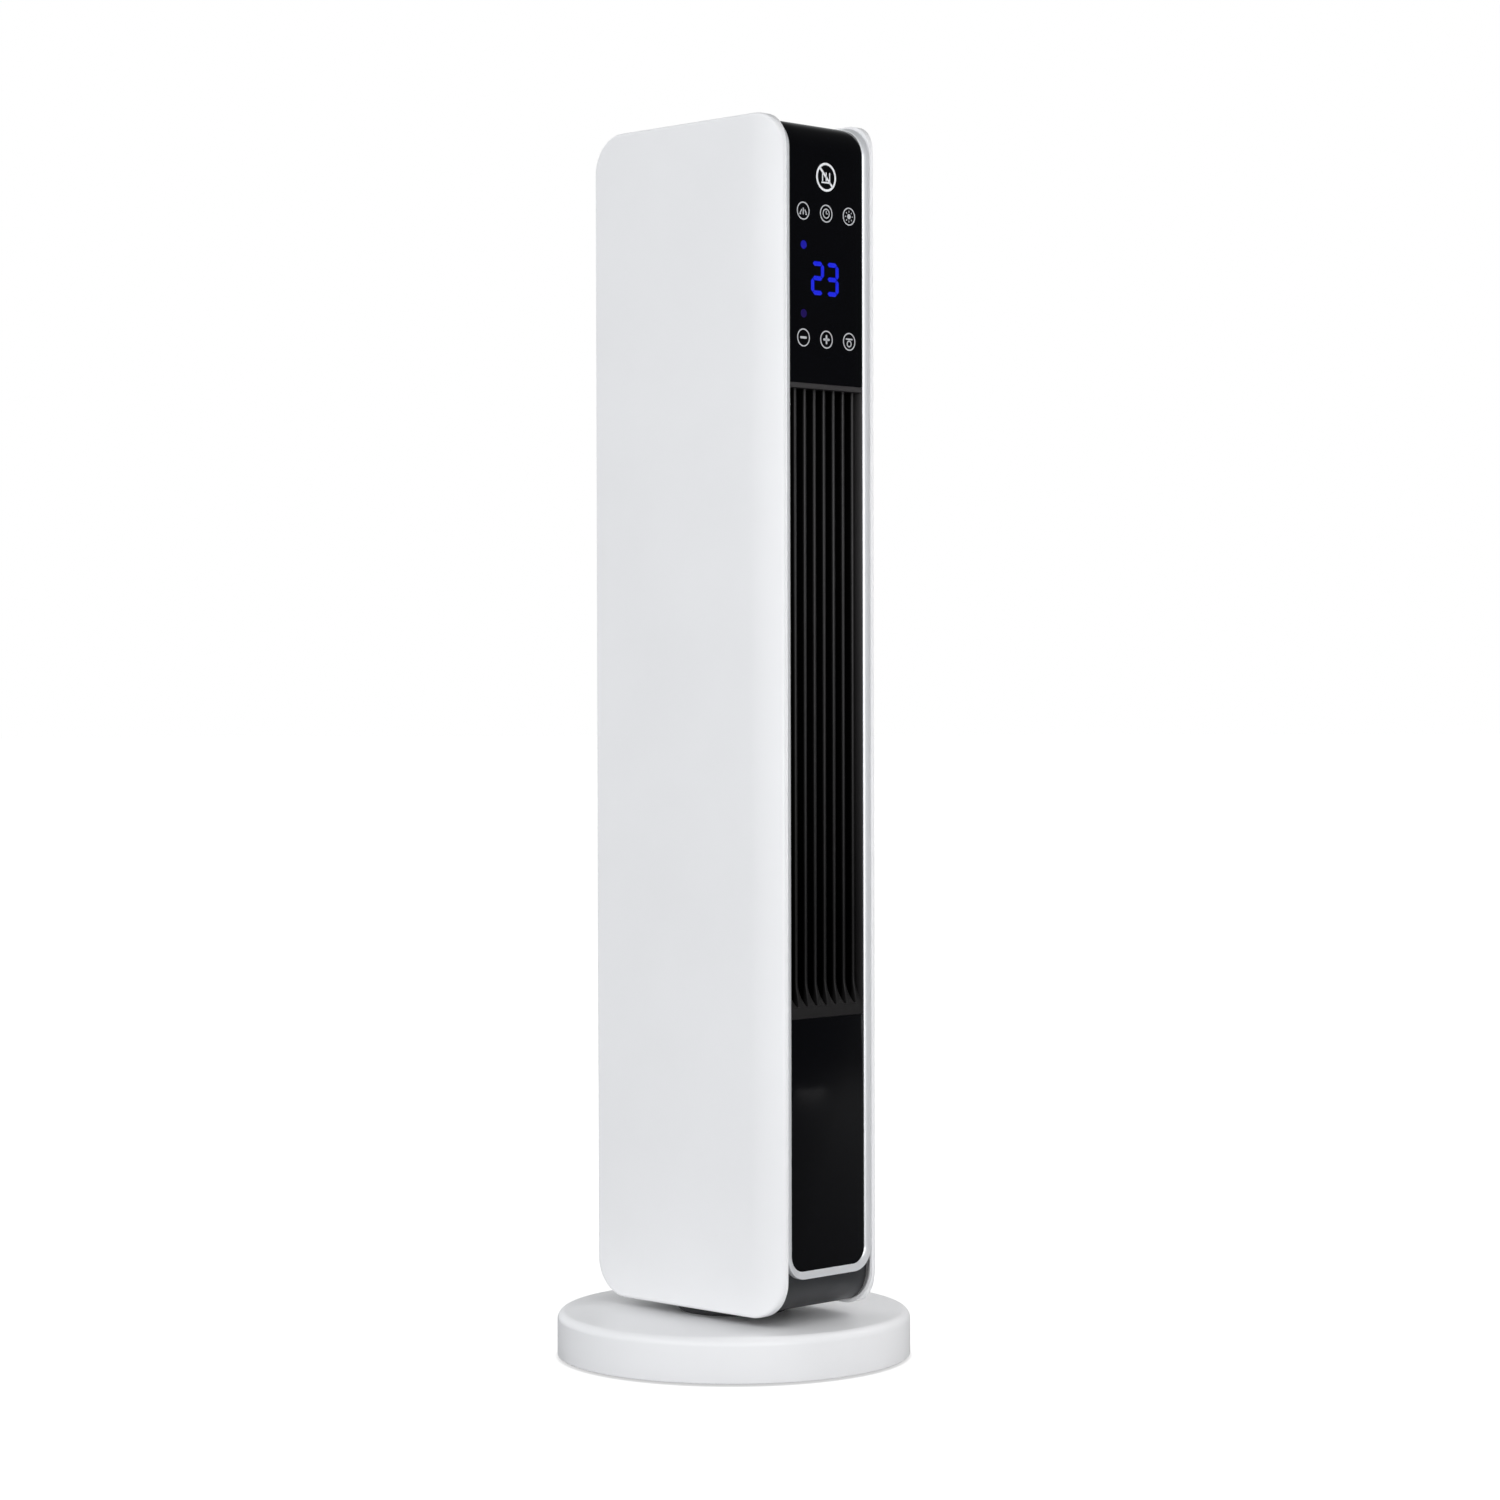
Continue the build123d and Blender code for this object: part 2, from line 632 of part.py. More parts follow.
def is_inner_rim(edge):
    """Whether an edge is the trim's outward rim next to the glass."""
    middle = edge.center()
    ends = (edge.start_point(), edge.end_point())
    inside = all(abs(end.X) < TRIM_IN + 0.1 and end.Z > FASCIA_BOTTOM - 0.5 for end in ends)
    front = abs(middle.Y - (SKIN_BACK - TRIM_THICK)) < 0.1
    long = edge.length > 2 * TRIM_THICK
    bend = edge.geom_type == GeomType.CIRCLE and edge.radius > CASE_TOP_R + TRIM_THICK - 0.1
    top = edge.geom_type == GeomType.LINE and middle.Z > CASE_TOP + TRIM_THICK
    return inside and long and (front or bend or top)


def front_trim():
    """Silver U-shaped trim round the black front, one moulding, bevelled down to the glass."""
    low = (-TRIM_OUT, TRIM_BOTTOM)
    high = (TRIM_OUT, OUTLET_LOW)
    outer = outline(low, high, {low: TRIM_CORNER, (high[0], low[1]): TRIM_CORNER})
    in_low = (-TRIM_IN, FASCIA_BOTTOM - 0.15)
    in_high = (TRIM_IN, OUTLET_LOW + EXTRA)
    inner = outline(in_low, in_high, {in_low: FASCIA_CORNER, (in_high[0], in_low[1]): FASCIA_CORNER})
    trim = extrude(Plane.XZ.offset(-SKIN_BACK) * (outer - inner), TRIM_THICK)
    band = skin_band(TRIM_THICK + SKIN_GAP, FASCIA_BACK_Y, OUTLET_LOW)
    trim += side_extrude(band, TRIM_IN, TRIM_OUT)
    trim += side_extrude(band, -TRIM_OUT, -TRIM_IN)
    return chamfer([edge for edge in trim.edges() if is_inner_rim(edge)], TRIM_BEVEL)


# ---------------------------------------------------------------- outlet grille
def grille_pocket(face_y, high):
    """Side view of the recess in front of the vanes, with the slope at its foot."""
    vane_y = face_y + VANE_RECESS
    points = [
        (face_y - EXTRA, GRILLE_RAMP_LOW),
        (face_y, GRILLE_RAMP_LOW),
        (vane_y, GRILLE_RAMP_HIGH),
        (vane_y, high - GRILLE_LIP),
        (face_y - EXTRA, high - GRILLE_LIP),
    ]
    return make_face(Polyline(points, close=True))


def outlet_grille():
    """Deep vertical-vane grille; its vanes sweep forward at the foot."""
    face_y = SKIN_BACK - FASCIA_THICK + 0.2
    low = OUTLET_LOW + 0.15
    high = OUTLET_HIGH - 0.15
    grille = block((-FASCIA_HALF, FASCIA_HALF), (face_y, SKIN_BACK), (low, high))
    grille += block((-GRILLE_HALF, GRILLE_HALF), (SKIN_BACK, GRILLE_BACK), (low + 1.6, high - 1.6))
    grille -= side_extrude(grille_pocket(face_y, high), -GRILLE_HALF, GRILLE_HALF)
    slot_half = (SLOT_PITCH - VANE_WIDTH) / 2
    for index in range(SLOT_COUNT):
        x = (index - (SLOT_COUNT - 1) / 2) * SLOT_PITCH
        span = (GRILLE_RAMP_LOW + 1.5, high - GRILLE_LIP)
        slot = block((x - slot_half, x + slot_half), (face_y - EXTRA, GRILLE_BACK + EXTRA), span)
        grille -= slot
    tie_half = SLOT_COUNT * SLOT_PITCH / 2
    for z in GRILLE_TIES_Z:
        grille += block((-tie_half, tie_half), (GRILLE_BACK - 4, GRILLE_BACK), (z - 1, z + 1))
    return grille


# ---------------------------------------------------------------- blower
def duct_plan(grow):
    """Plan of the air path: intake, rotor chamber and outlet channel."""
    chamber = Pos(0, ROTOR_Y) * Circle(ROTOR_R + 3.4 + grow)
    channel = Pos(0, -20.0) * Rectangle(62.0 + 2 * grow, 92.0)
    intake = Pos(0, 50.0) * Rectangle(46.0 + 2 * grow, 28.0)
    return chamber + channel + intake


def blower_duct():
    """Heat-resistant duct round the rotor, closed by a plate at each end."""
    duct = Pos(0, 0, DUCT_LOW) * extrude(duct_plan(DUCT_WALL), DUCT_HIGH - DUCT_LOW)
    duct -= Pos(0, 0, DUCT_LOW - EXTRA) * extrude(duct_plan(0), DUCT_HIGH - DUCT_LOW + 2 * EXTRA)
    for z_low in (DUCT_LOW - DUCT_PLATE, DUCT_HIGH):
        duct += Pos(0, 0, z_low) * extrude(duct_plan(DUCT_WALL), DUCT_PLATE)
    duct -= rod(7.0, (DUCT_LOW - 5, DUCT_LOW + 1), 0, ROTOR_Y)
    return duct - rod(5.6, (DUCT_HIGH - 1, DUCT_HIGH + 5), 0, ROTOR_Y)


def blade_face():
    """Plan section of one forward-curved blade."""
    inner_r = ROTOR_R - 5.6
    mid_r = ROTOR_R - 2.6
    outer_r = ROTOR_R - 0.3
    hollow = ThreePointArc(polar(inner_r, 0), polar(mid_r, 3.2), polar(outer_r, 10.0))
    back = ThreePointArc(polar(inner_r, 3.0), polar(mid_r, 6.2), polar(outer_r, 12.2))
    return make_face([hollow, back, Line(hollow @ 0, back @ 0), Line(hollow @ 1, back @ 1)])


def impeller_rotor():
    """Cross-flow rotor: blades between discs, with a hub at each end."""
    height = ROTOR_HIGH - ROTOR_LOW
    rotor = rod(ROTOR_R, (ROTOR_LOW, ROTOR_LOW + 2.0)) + rod(ROTOR_R, (ROTOR_HIGH - 2.0, ROTOR_HIGH))
    for index in range(1, 5):
        z = ROTOR_LOW + height * index / 5
        rotor += tube(ROTOR_R, ROTOR_R - 6.5, (z - 0.8, z + 0.8))
    blade = Pos(0, 0, ROTOR_LOW + EXTRA) * extrude(blade_face(), height - 2 * EXTRA)
    rotor += [Rot(Z=360 * index / BLADE_COUNT) * blade for index in range(BLADE_COUNT)]
    rotor += rod(7.5, (ROTOR_LOW, ROTOR_LOW + 14))
    rotor += rod(7.5, (ROTOR_HIGH - 14, ROTOR_HIGH))
    rotor -= rod(SHAFT_R + PRESS_GAP, (ROTOR_LOW - EXTRA, ROTOR_LOW + 12))
    rotor -= rod(SHAFT_R + PRESS_GAP, (ROTOR_HIGH - 12, ROTOR_HIGH + EXTRA))
    return Pos(0, ROTOR_Y, 0) * rotor


def blower_motor():
    """Motor can with an end cap at each end, each with its bearing hole."""
    low, high = MOTOR_CAN
    can = tube(BLOWER_MOTOR_R, 15.4, (low, high), 0, ROTOR_Y)
    caps = rod(BLOWER_MOTOR_R, (low - MOTOR_CAP, low), 0, ROTOR_Y)
    caps += rod(BLOWER_MOTOR_R, (high, high + MOTOR_CAP), 0, ROTOR_Y)
    motor = can + caps - rod(SHAFT_R + BEARING_GAP, (low - 6, high + 6), 0, ROTOR_Y)
    for angle in range(0, 360, 30):
        x, y = polar(22.0, angle)
        motor -= rod(1.8, (low - 5, high + 5), x, ROTOR_Y + y)
    return motor


def motor_bracket():
    """Pressed bracket that hangs the motor under the duct."""
    inner_r = BLOWER_MOTOR_R + RUN_GAP
    legs_z = (208.0, DUCT_LOW - DUCT_PLATE)
    bracket = tube(30.5, inner_r, (200.0, 216.0), 0, ROTOR_Y)
    for side in (-1, 1):
        legs_x = (side * 22 - 4, side * 22 + 4)
        bracket += block(legs_x, (ROTOR_Y - 24.5, ROTOR_Y - 21.5), legs_z)
        bracket += block(legs_x, (ROTOR_Y + 18.4, ROTOR_Y + 21.4), legs_z)
    return bracket - rod(inner_r, (MOTOR_CAN[0], legs_z[1] + EXTRA), 0, ROTOR_Y)


def motor_rotor():
    core = rod(15.0, (MOTOR_CAN[0] + 1.5, MOTOR_CAN[1] - 1.5), 0, ROTOR_Y)
    return core - rod(SHAFT_R + PRESS_GAP, MOTOR_CAN, 0, ROTOR_Y)


def motor_shaft():
    return rod(SHAFT_R, (184.0, ROTOR_LOW + 11.5), 0, ROTOR_Y)


def impeller_pin():
    return rod(SHAFT_R, (ROTOR_HIGH - 11.5, 662.0), 0, ROTOR_Y)


def upper_bush():
    """Rubber-mounted bush for the top pin of the rotor."""
    bush = rod(9.0, (DUCT_HIGH + 2.0, 657.0), 0, ROTOR_Y)
    return bush - rod(SHAFT_R + BEARING_GAP, (640, 670), 0, ROTOR_Y)


# ---------------------------------------------------------------- heating element
def ptc_frame():
    """Heat-resistant frame of the heating element."""
    low, high = PTC_LOW - 6, PTC_HIGH + 6
    frame = block((-30.7, 30.7), (PTC_FRONT, PTC_BACK), (low, high))
    frame -= block((-28.7, 28.7), (PTC_FRONT - 1, PTC_BACK + 1), (PTC_LOW, PTC_HIGH))
    return frame


def ptc_bars():
    """Two rows of ceramic heating stones in their flat aluminium tubes."""
    bars = []
    for x in (-PTC_BAR_X, PTC_BAR_X):
        bars.append(block((x - 3.4, x + 3.4), (PTC_FRONT + 1, PTC_BACK - 1), (PTC_LOW, PTC_HIGH)))
    return group(bars)


def ptc_fins():
    """Aluminium fin packs on both sides of each ceramic row."""
    packs = []
    count = int((PTC_HIGH - PTC_LOW) / FIN_PITCH)
    for x_low, x_high in ((-28.6, -17.8), (-10.8, -0.1), (0.1, 10.8), (17.8, 28.6)):
        pack = block((x_low, x_high), (PTC_FRONT + 1, PTC_BACK - 1), (PTC_LOW + 0.1, PTC_HIGH - 0.1))
        for index in range(count):
            z = PTC_LOW + FIN_PITCH * (index + 0.5)
            pack -= block((x_low + 0.6, x_high - 0.6), (PTC_FRONT, PTC_BACK), (z - 3.6, z + 3.6))
        packs.append(pack)
    return group(packs)


def ptc_terminals():
    tabs = []
    for x in (-PTC_BAR_X, PTC_BAR_X):
        tabs.append(block((x - 3, x + 3), (-54, -53), (PTC_HIGH + 6, DUCT_HIGH)))
    return group(tabs)


def thermal_cutout():
    """Bimetal cut-out on the duct's top plate, above the heating element."""
    body = rod(8.0, (DUCT_HIGH + 2.0, DUCT_HIGH + 8.0), 0, -46.0)
    body += block((-12.0, 12.0), (-49.0, -43.0), (DUCT_HIGH + 2.0, DUCT_HIGH + 3.0))
    for side in (-1, 1):
        body += block((side * 4 - 0.4, side * 4 + 0.4), (-48.5, -43.5), (DUCT_HIGH + 8, DUCT_HIGH + 14))
    return body


# ---------------------------------------------------------------- electronics
def control_board():
    """Touch and display board behind the upper fascia."""
    board = block((-31, 31), (BOARD_Y, BOARD_Y + BOARD_THICK), (BOARD_LOW, BOARD_HIGH))
    board += block((-8, 8), (BOARD_Y + BOARD_THICK, BOARD_Y + 3.6), (740, 752))
    board += block((-26, -18), (BOARD_Y + BOARD_THICK, BOARD_Y + 6.5), (690, 720))
    for x in (-27.0, 27.0):
        for z in (BOARD_LOW + 4, BOARD_HIGH - 4):
            board -= rod_y(1.6, (BOARD_Y - 1, BOARD_Y + 3), x, z)
    return board


def led_display():
    """Two-digit display module on the control board."""
    return block((-14.0, 14.0), (SKIN_BACK + 0.2, BOARD_Y), (708.0, 737.0))


def indicator_lights():
    lights = []
    for x, z in ((-20.6, 744.8), (-20.6, 699.7)):
        lights.append(block((x - 1.6, x + 1.6), (BOARD_Y - 1.4, BOARD_Y), (z - 0.8, z + 0.8)))
    return group(lights)


def touch_springs():
    """Contact springs that press the touch electrodes against the fascia."""
    places = [(x, z) for z in KEY_ROWS for x in (-KEY_X, 0.0, KEY_X)] + [(0.0, LOCK_KEY_Z)]
    springs = []
    for x, z in places:
        spring = rod_y(5.0, (SKIN_BACK + 0.1, BOARD_Y), x, z)
        springs.append(spring - rod_y(4.3, (SKIN_BACK - 1, BOARD_Y + 1), x, z))
    return group(springs)


def infrared_receiver():
    return block((13.0, 19.0), (SKIN_BACK + 0.3, BOARD_Y), (742.0, 749.0))


def board_bracket():
    """Bracket that carries the control board on the front frame."""
    y_front = BOARD_Y + BOARD_THICK
    bracket = block((-34.0, 34.0), (-75.0, -73.0), (BOARD_LOW - 3, BOARD_HIGH + 2))
    bracket -= block((-28.0, 28.0), (-76.0, -72.0), (BOARD_LOW + 8, BOARD_HIGH - 8))
    for x in (-27.0, 27.0):
        for z in (BOARD_LOW + 4, BOARD_HIGH - 4):
            bracket += rod_y(2.6, (y_front, -73.5), x, z)
    for side in (-1, 1):
        for z in (BOARD_LOW + 14, BOARD_HIGH - 18):
            bracket += block(sorted((side * 33.0, side * 38.1)), (-75.0, -73.0), (z - 6, z + 6))
    return bracket


def power_board():
    board = block((-32, 32), (POWER_Y, POWER_Y + BOARD_THICK), (POWER_LOW, POWER_HIGH))
    for x in (-28.0, 28.0):
        for z in (POWER_LOW + 5, POWER_HIGH - 5):
            board -= rod_y(1.6, (POWER_Y - 1, POWER_Y + 3), x, z)
    return board


def relays():
    parts = []
    for x in (-20.0, 0.0, 20.0):
        parts.append(block((x - 7.5, x + 7.5), (POWER_Y - 16, POWER_Y), (136, 158)))
    return group(parts)


def board_components():
    """Mains filter, capacitors and heat sink on the power board."""
    parts = [block((-26, -8), (POWER_Y - 14, POWER_Y), (104, 128))]
    parts.append(block((8, 26), (POWER_Y - 22, POWER_Y), (106, 110)))
    parts.append(rod_y(5.0, (POWER_Y - 20, POWER_Y), 14, 120))
    parts.append(rod_y(5.0, (POWER_Y - 20, POWER_Y), 2, 120))
    return group(parts)


def terminal_block():
    body = block((-24, 24), (POWER_Y - 14, POWER_Y), (76, 92))
    for index in range(4):
        x = -18 + 12 * index
        body -= rod_y(2.2, (POWER_Y - 15, POWER_Y - 6), x, 84)
    return body


def power_board_posts():
    """Board carrier fixed to the casing's side walls."""
    posts = block((-38.1, 38.1), (POWER_Y + 5, POWER_Y + 7), (98, 112))
    for x in (-28.0, 28.0):
        posts += block((x - 3, x + 3), (POWER_Y + 5, POWER_Y + 7), (POWER_LOW + 2, POWER_HIGH - 2))
        for z in (POWER_LOW + 5, POWER_HIGH - 5):
            posts += rod_y(3.0, (POWER_Y + BOARD_THICK, POWER_Y + 6), x, z)
    return posts


# ---------------------------------------------------------------- rear pieces
def filter_cover():
    """Removable intake cover: a slatted frame with two finger notches."""
    low, high = FILTER_LOW, FILTER_HIGH
    cover = block((-FILTER_HALF, FILTER_HALF), (70.0, FILTER_FACE), (low, high))
    cover -= block((-FILTER_HALF + 1.8, FILTER_HALF - 1.8), (69.0, 77.4), (low + 1.8, high - 1.8))
    rim = cover.edges().filter_by(lambda edge: edge.center().Y > FILTER_FACE - 0.1)
    cover = fillet(rim, 0.8)
    pitch = 7.0
    count = int((high - low - 24) / pitch)
    start = (low + high - (count - 1) * pitch) / 2
    for index in range(count):
        z = start + index * pitch
        for side in (-1, 1):
            cover -= block(sorted((side * 1.6, side * 28.5)), (76, 82), (z - 2.0, z + 2.0))
    return cover


def filter_mesh():
    """Fine net in a thin frame, held inside the intake cover."""
    low, high = FILTER_LOW + 3, FILTER_HIGH - 3
    net = block((-30.6, 30.6), (73.0, 73.6), (low, high))
    frame = block((-30.8, 30.8), (72.0, 75.0), (low - 0.4, high + 0.4))
    frame -= block((-28.0, 28.0), (71.0, 76.0), (low + 3, high - 3))
    for index in range(1, 6):
        z = low + (high - low) * index / 6
        frame += block((-28.5, 28.5), (72.0, 75.0), (z - 1, z + 1))
    return frame + net


def handle_cup():
    """Moulded carrying recess high on the back."""
    low, high = HANDLE_LOW, HANDLE_HIGH
    depth_y = CASE_REAR - HANDLE_DEPTH
    wall = 2.0
    hook = 8.0
    width = (-HANDLE_HALF - wall, HANDLE_HALF + wall)
    cup = block(width, (depth_y - wall, 76.6), (low - wall, high + hook + wall))
    cup += block(width, (76, CASE_REAR), (low - wall, high + wall))
    cup -= block((-HANDLE_HALF, HANDLE_HALF), (depth_y, 74.6), (low, high + hook))
    return cup - block((-HANDLE_HALF, HANDLE_HALF), (74, CASE_REAR + 1), (low, high))


def switch_housing():
    """Body and bezel of the main switch."""
    body = block((-8.8, 8.8), (58.0, CASE_REAR), (SWITCH_Z - 13.4, SWITCH_Z + 13.4))
    bezel = block((-10.4, 10.4), (CASE_REAR, CASE_REAR + 1.4), (SWITCH_Z - 15, SWITCH_Z + 15))
    rim = bezel.edges().filter_by(lambda edge: edge.center().Y > CASE_REAR + 1.3)
    body += fillet(rim, 0.6)
    body -= block((-7.0, 7.0), (64.0, 82), (SWITCH_Z - CAVITY_HALF_Z, SWITCH_Z + CAVITY_HALF_Z))
    body -= rod_x(1.5 + BEARING_GAP, (-8.2, 8.2), SWITCH_PIVOT_Y, SWITCH_Z)
    for z in (SWITCH_Z - 7, SWITCH_Z, SWITCH_Z + 7):
        body += block((-3.2, 3.2), (50.0, 58.5), (z - 0.4, z + 0.4))
    return body


def power_rocker():
    """Rocker of the main switch, resting in its off position."""
    front = SWITCH_PIVOT_Y + 7.4
    middle = SWITCH_PIVOT_Y + 5.6
    back = SWITCH_PIVOT_Y - 3.0
    half = ROCKER_HALF_Z
    points = [
        (middle, SWITCH_Z),
        (front, SWITCH_Z + half),
        (SWITCH_PIVOT_Y, SWITCH_Z + half),
        (back, SWITCH_Z + 3),
        (back, SWITCH_Z - 3),
        (SWITCH_PIVOT_Y, SWITCH_Z - half),
        (front, SWITCH_Z - half),
    ]
    face = make_face(Polyline(points, close=True))
    rocker = side_extrude(face, -ROCKER_HALF_X, ROCKER_HALF_X)
    rocker += rod_x(1.5, (-8.0, 8.0), SWITCH_PIVOT_Y, SWITCH_Z)
    pivot = Pos(0, SWITCH_PIVOT_Y, SWITCH_Z)
    tilt = pivot * Rot(X=SWITCH_REST_TILT) * Pos(0, -SWITCH_PIVOT_Y, -SWITCH_Z)
    return tilt * rocker


# ---------------------------------------------------------------- assembly
def build_base():
    NODES["base_cover"] = base_cover()
    NODES["base_plate"] = base_plate()
    NODES["rubber_feet"] = rubber_feet()
    NODES["base_screws"] = group(screw_up(x, y, PLATE_BOTTOM, 11) for x, y in base_screw_places())
    NODES["swivel_bush"] = swivel_bush()
    NODES["thrust_washer"] = thrust_washer()
    NODES["oscillation_motor"] = oscillation_motor()
    NODES["motor_screws"] = group(screw_up(x, y, MOTOR_EAR_Z[0], 5) for x, y in motor_screw_places())
    NODES["tip_switch_holder"] = tip_switch_holder()
    NODES["tip_switch"] = tip_switch()
    NODES["tip_plunger"] = tip_plunger()
    NODES["plunger_spring"] = plunger_spring()
    NODES["inlet_grommet"] = inlet_grommet()
    NODES["drive_pinion"] = drive_pinion()
    NODES["pinion_shaft"] = pinion_shaft()


def build_tower():
    shell = case_shell()
    seat = CASE_BOTTOM + CASE_WALL
    NODES["turntable"] = turntable()
    NODES["swivel_gear"] = swivel_gear()
    NODES["gear_screws"] = group(screw_up(x, y, GEAR_BOTTOM, 12) for x, y in gear_screw_places())
    NODES["turntable_screws"] = group(screw_down(x, y, seat, 8) for x, y in table_screw_places())
    NODES["side_panel_left"] = side_panel(-1)
    NODES["side_panel_right"] = side_panel(1)
    NODES["panel_screws"] = panel_screws()
    NODES["front_frame"] = front_frame(shell)
    NODES["rear_housing"] = rear_housing(shell)
    NODES["lower_front_cover"] = lower_front_cover()
    NODES["upper_fascia"] = upper_fascia()
    NODES["lower_fascia"] = lower_fascia()
    NODES["front_trim"] = front_trim()
    NODES["outlet_grille"] = outlet_grille()
    screws = [
        screw_front(x, z, BOSS_SEAT_Y, 18)
        for x in (-HOUSING_SCREW_X, HOUSING_SCREW_X)
        for z in HOUSING_SCREW_Z
    ]
    NODES["housing_screws"] = group(screws)


def build_inside():
    NODES["blower_duct"] = blower_duct()
    NODES["blower_motor"] = blower_motor()
    NODES["motor_bracket"] = motor_bracket()
    NODES["motor_rotor"] = motor_rotor()
    NODES["motor_shaft"] = motor_shaft()
    NODES["impeller_rotor"] = impeller_rotor()
    NODES["impeller_pin"] = impeller_pin()
    NODES["upper_bush"] = upper_bush()
    NODES["ptc_frame"] = ptc_frame()
    NODES["ptc_bars"] = ptc_bars()
    NODES["ptc_fins"] = ptc_fins()
    NODES["ptc_terminals"] = ptc_terminals()
    NODES["thermal_cutout"] = thermal_cutout()
    NODES["control_board"] = control_board()
    NODES["led_display"] = led_display()
    NODES["indicator_lights"] = indicator_lights()
    NODES["touch_springs"] = touch_springs()
    NODES["infrared_receiver"] = infrared_receiver()
    NODES["board_bracket"] = board_bracket()
    NODES["power_board"] = power_board()
    NODES["relays"] = relays()
    NODES["board_components"] = board_components()
    NODES["terminal_block"] = terminal_block()
    NODES["power_board_carrier"] = power_board_posts()


def build_rear():
    NODES["filter_cover"] = filter_cover()
    NODES["filter_mesh"] = filter_mesh()
    NODES["handle_cup"] = handle_cup()
    NODES["switch_housing"] = switch_housing()
    NODES["power_rocker"] = power_rocker()


build_base()
build_tower()
build_inside()
build_rear()
os.makedirs("parts", exist_ok=True)
for name, shape in NODES.items():
    export_step(shape, f"parts/{name}.step")
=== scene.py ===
import json
from math import cos, hypot, pi, radians, sin, sqrt

import bmesh
import bpy
from mathutils import Matrix, Vector


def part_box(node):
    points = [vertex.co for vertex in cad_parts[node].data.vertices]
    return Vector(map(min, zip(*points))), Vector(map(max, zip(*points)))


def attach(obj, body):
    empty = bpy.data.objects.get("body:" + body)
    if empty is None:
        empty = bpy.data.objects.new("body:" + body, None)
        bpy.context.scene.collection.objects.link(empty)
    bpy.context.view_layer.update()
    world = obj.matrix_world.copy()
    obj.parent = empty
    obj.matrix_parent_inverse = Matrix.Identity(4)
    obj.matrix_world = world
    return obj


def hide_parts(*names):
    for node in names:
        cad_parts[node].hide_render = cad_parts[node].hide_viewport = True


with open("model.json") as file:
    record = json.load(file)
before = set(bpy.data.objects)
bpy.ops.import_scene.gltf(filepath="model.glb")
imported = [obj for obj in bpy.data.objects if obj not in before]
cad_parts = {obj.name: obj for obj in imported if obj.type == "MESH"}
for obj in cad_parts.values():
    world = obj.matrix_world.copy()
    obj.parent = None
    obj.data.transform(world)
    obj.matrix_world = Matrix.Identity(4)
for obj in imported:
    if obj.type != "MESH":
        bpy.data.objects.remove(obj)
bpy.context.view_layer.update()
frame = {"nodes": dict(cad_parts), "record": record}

# Shapes are worked out in millimetres and written to the meshes in metres.
MM = 0.001
TOWER = "tower"
BASE = "base"


def box_mm(node):
    """Lowest and highest corner of a CAD node, in millimetres."""
    low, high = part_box(node)
    return Vector(low) / MM, Vector(high) / MM


# ---------------------------------------------------------------- mesh helpers
def finish_mesh(name, mesh, body, material, replaces=(), sharp=35.0):
    """Link a mesh as a piece that rides on a body, smooth except at its sharp edges."""
    mesh.materials.append(material)
    for face in mesh.polygons:
        face.use_smooth = True
    mesh.set_sharp_from_angle(angle=radians(sharp))
    piece = bpy.data.objects.new(name, mesh)
    bpy.context.scene.collection.objects.link(piece)
    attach(piece, body)
    if replaces:
        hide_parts(*replaces)


def bm_to_mesh(name, bm):
    bmesh.ops.remove_doubles(bm, verts=bm.verts, dist=1e-7)
    bmesh.ops.recalc_face_normals(bm, faces=bm.faces)
    mesh = bpy.data.meshes.new(name)
    bm.to_mesh(mesh)
    bm.free()
    return mesh


def add_rings(bm, rings, loop=False):
    """Join closed rings of equal length with quads; cap both ends, or join the last to the first."""
    made = [[bm.verts.new([c * MM for c in point]) for point in ring] for ring in rings]
    count = len(made[0])
    pairs = list(zip(made, made[1:]))
    if loop:
        pairs.append((made[-1], made[0]))
    for first, second in pairs:
        for index in range(count):
            after = (index + 1) % count
            bm.faces.new((first[index], first[after], second[after], second[index]))
    if not loop:
        bm.faces.new(list(reversed(made[0])))
        bm.faces.new(made[-1])


def rings_piece(name, rings, body, material, replaces=(), loop=False, sharp=35.0):
    bm = bmesh.new()
    add_rings(bm, rings, loop=loop)
    finish_mesh(name, bm_to_mesh(name, bm), body, material, replaces, sharp)


def cut_mesh(name, mesh, tool_mesh):
    """Mesh with the tool's volume taken away."""
    scene = bpy.context.scene
    work = bpy.data.objects.new(name + "_work", mesh)
    tool = bpy.data.objects.new(name + "_tool", tool_mesh)
    for piece in (work, tool):
        scene.collection.objects.link(piece)
    cut = work.modifiers.new("cut", "BOOLEAN")
    cut.operation = "DIFFERENCE"
    cut.solver = "EXACT"
    cut.object = tool
    result = bpy.data.meshes.new_from_object(work.evaluated_get(bpy.context.evaluated_depsgraph_get()))
    for piece in (work, tool):
        bpy.data.objects.remove(piece)
    for spent in (mesh, tool_mesh):
        bpy.data.meshes.remove(spent)
    result.name = name
    return result


def revolve_rings(profile, segments):
    """Rings of a closed (radius, height) profile turned about the Z axis."""
    rings = []
    for index in range(segments):
        angle = 2 * pi * index / segments
        rings.append([(r * cos(angle), r * sin(angle), z) for r, z in profile])
    return rings


def arc_points(cx, cy, radius, start, end, steps):
    """Points on a circle from start to end, in degrees."""
    points = []
    for index in range(steps + 1):
        angle = radians(start + (end - start) * index / steps)
        points.append((cx + radius * cos(angle), cy + radius * sin(angle)))
    return points


def round_rect(low, high, radii, steps):
    """Counter-clockwise rounded rectangle; the four radii start at the low corner."""
    (x0, y0), (x1, y1) = low, high
    corners = ((x0, y0, 180, 1, 1), (x1, y0, 270, -1, 1), (x1, y1, 0, -1, -1), (x0, y1, 90, 1, -1))
    points = []
    for (x, y, start, sx, sy), r in zip(corners, radii):
        points += arc_points(x + sx * r, y + sy * r, r, start, start + 90, steps)
    return points


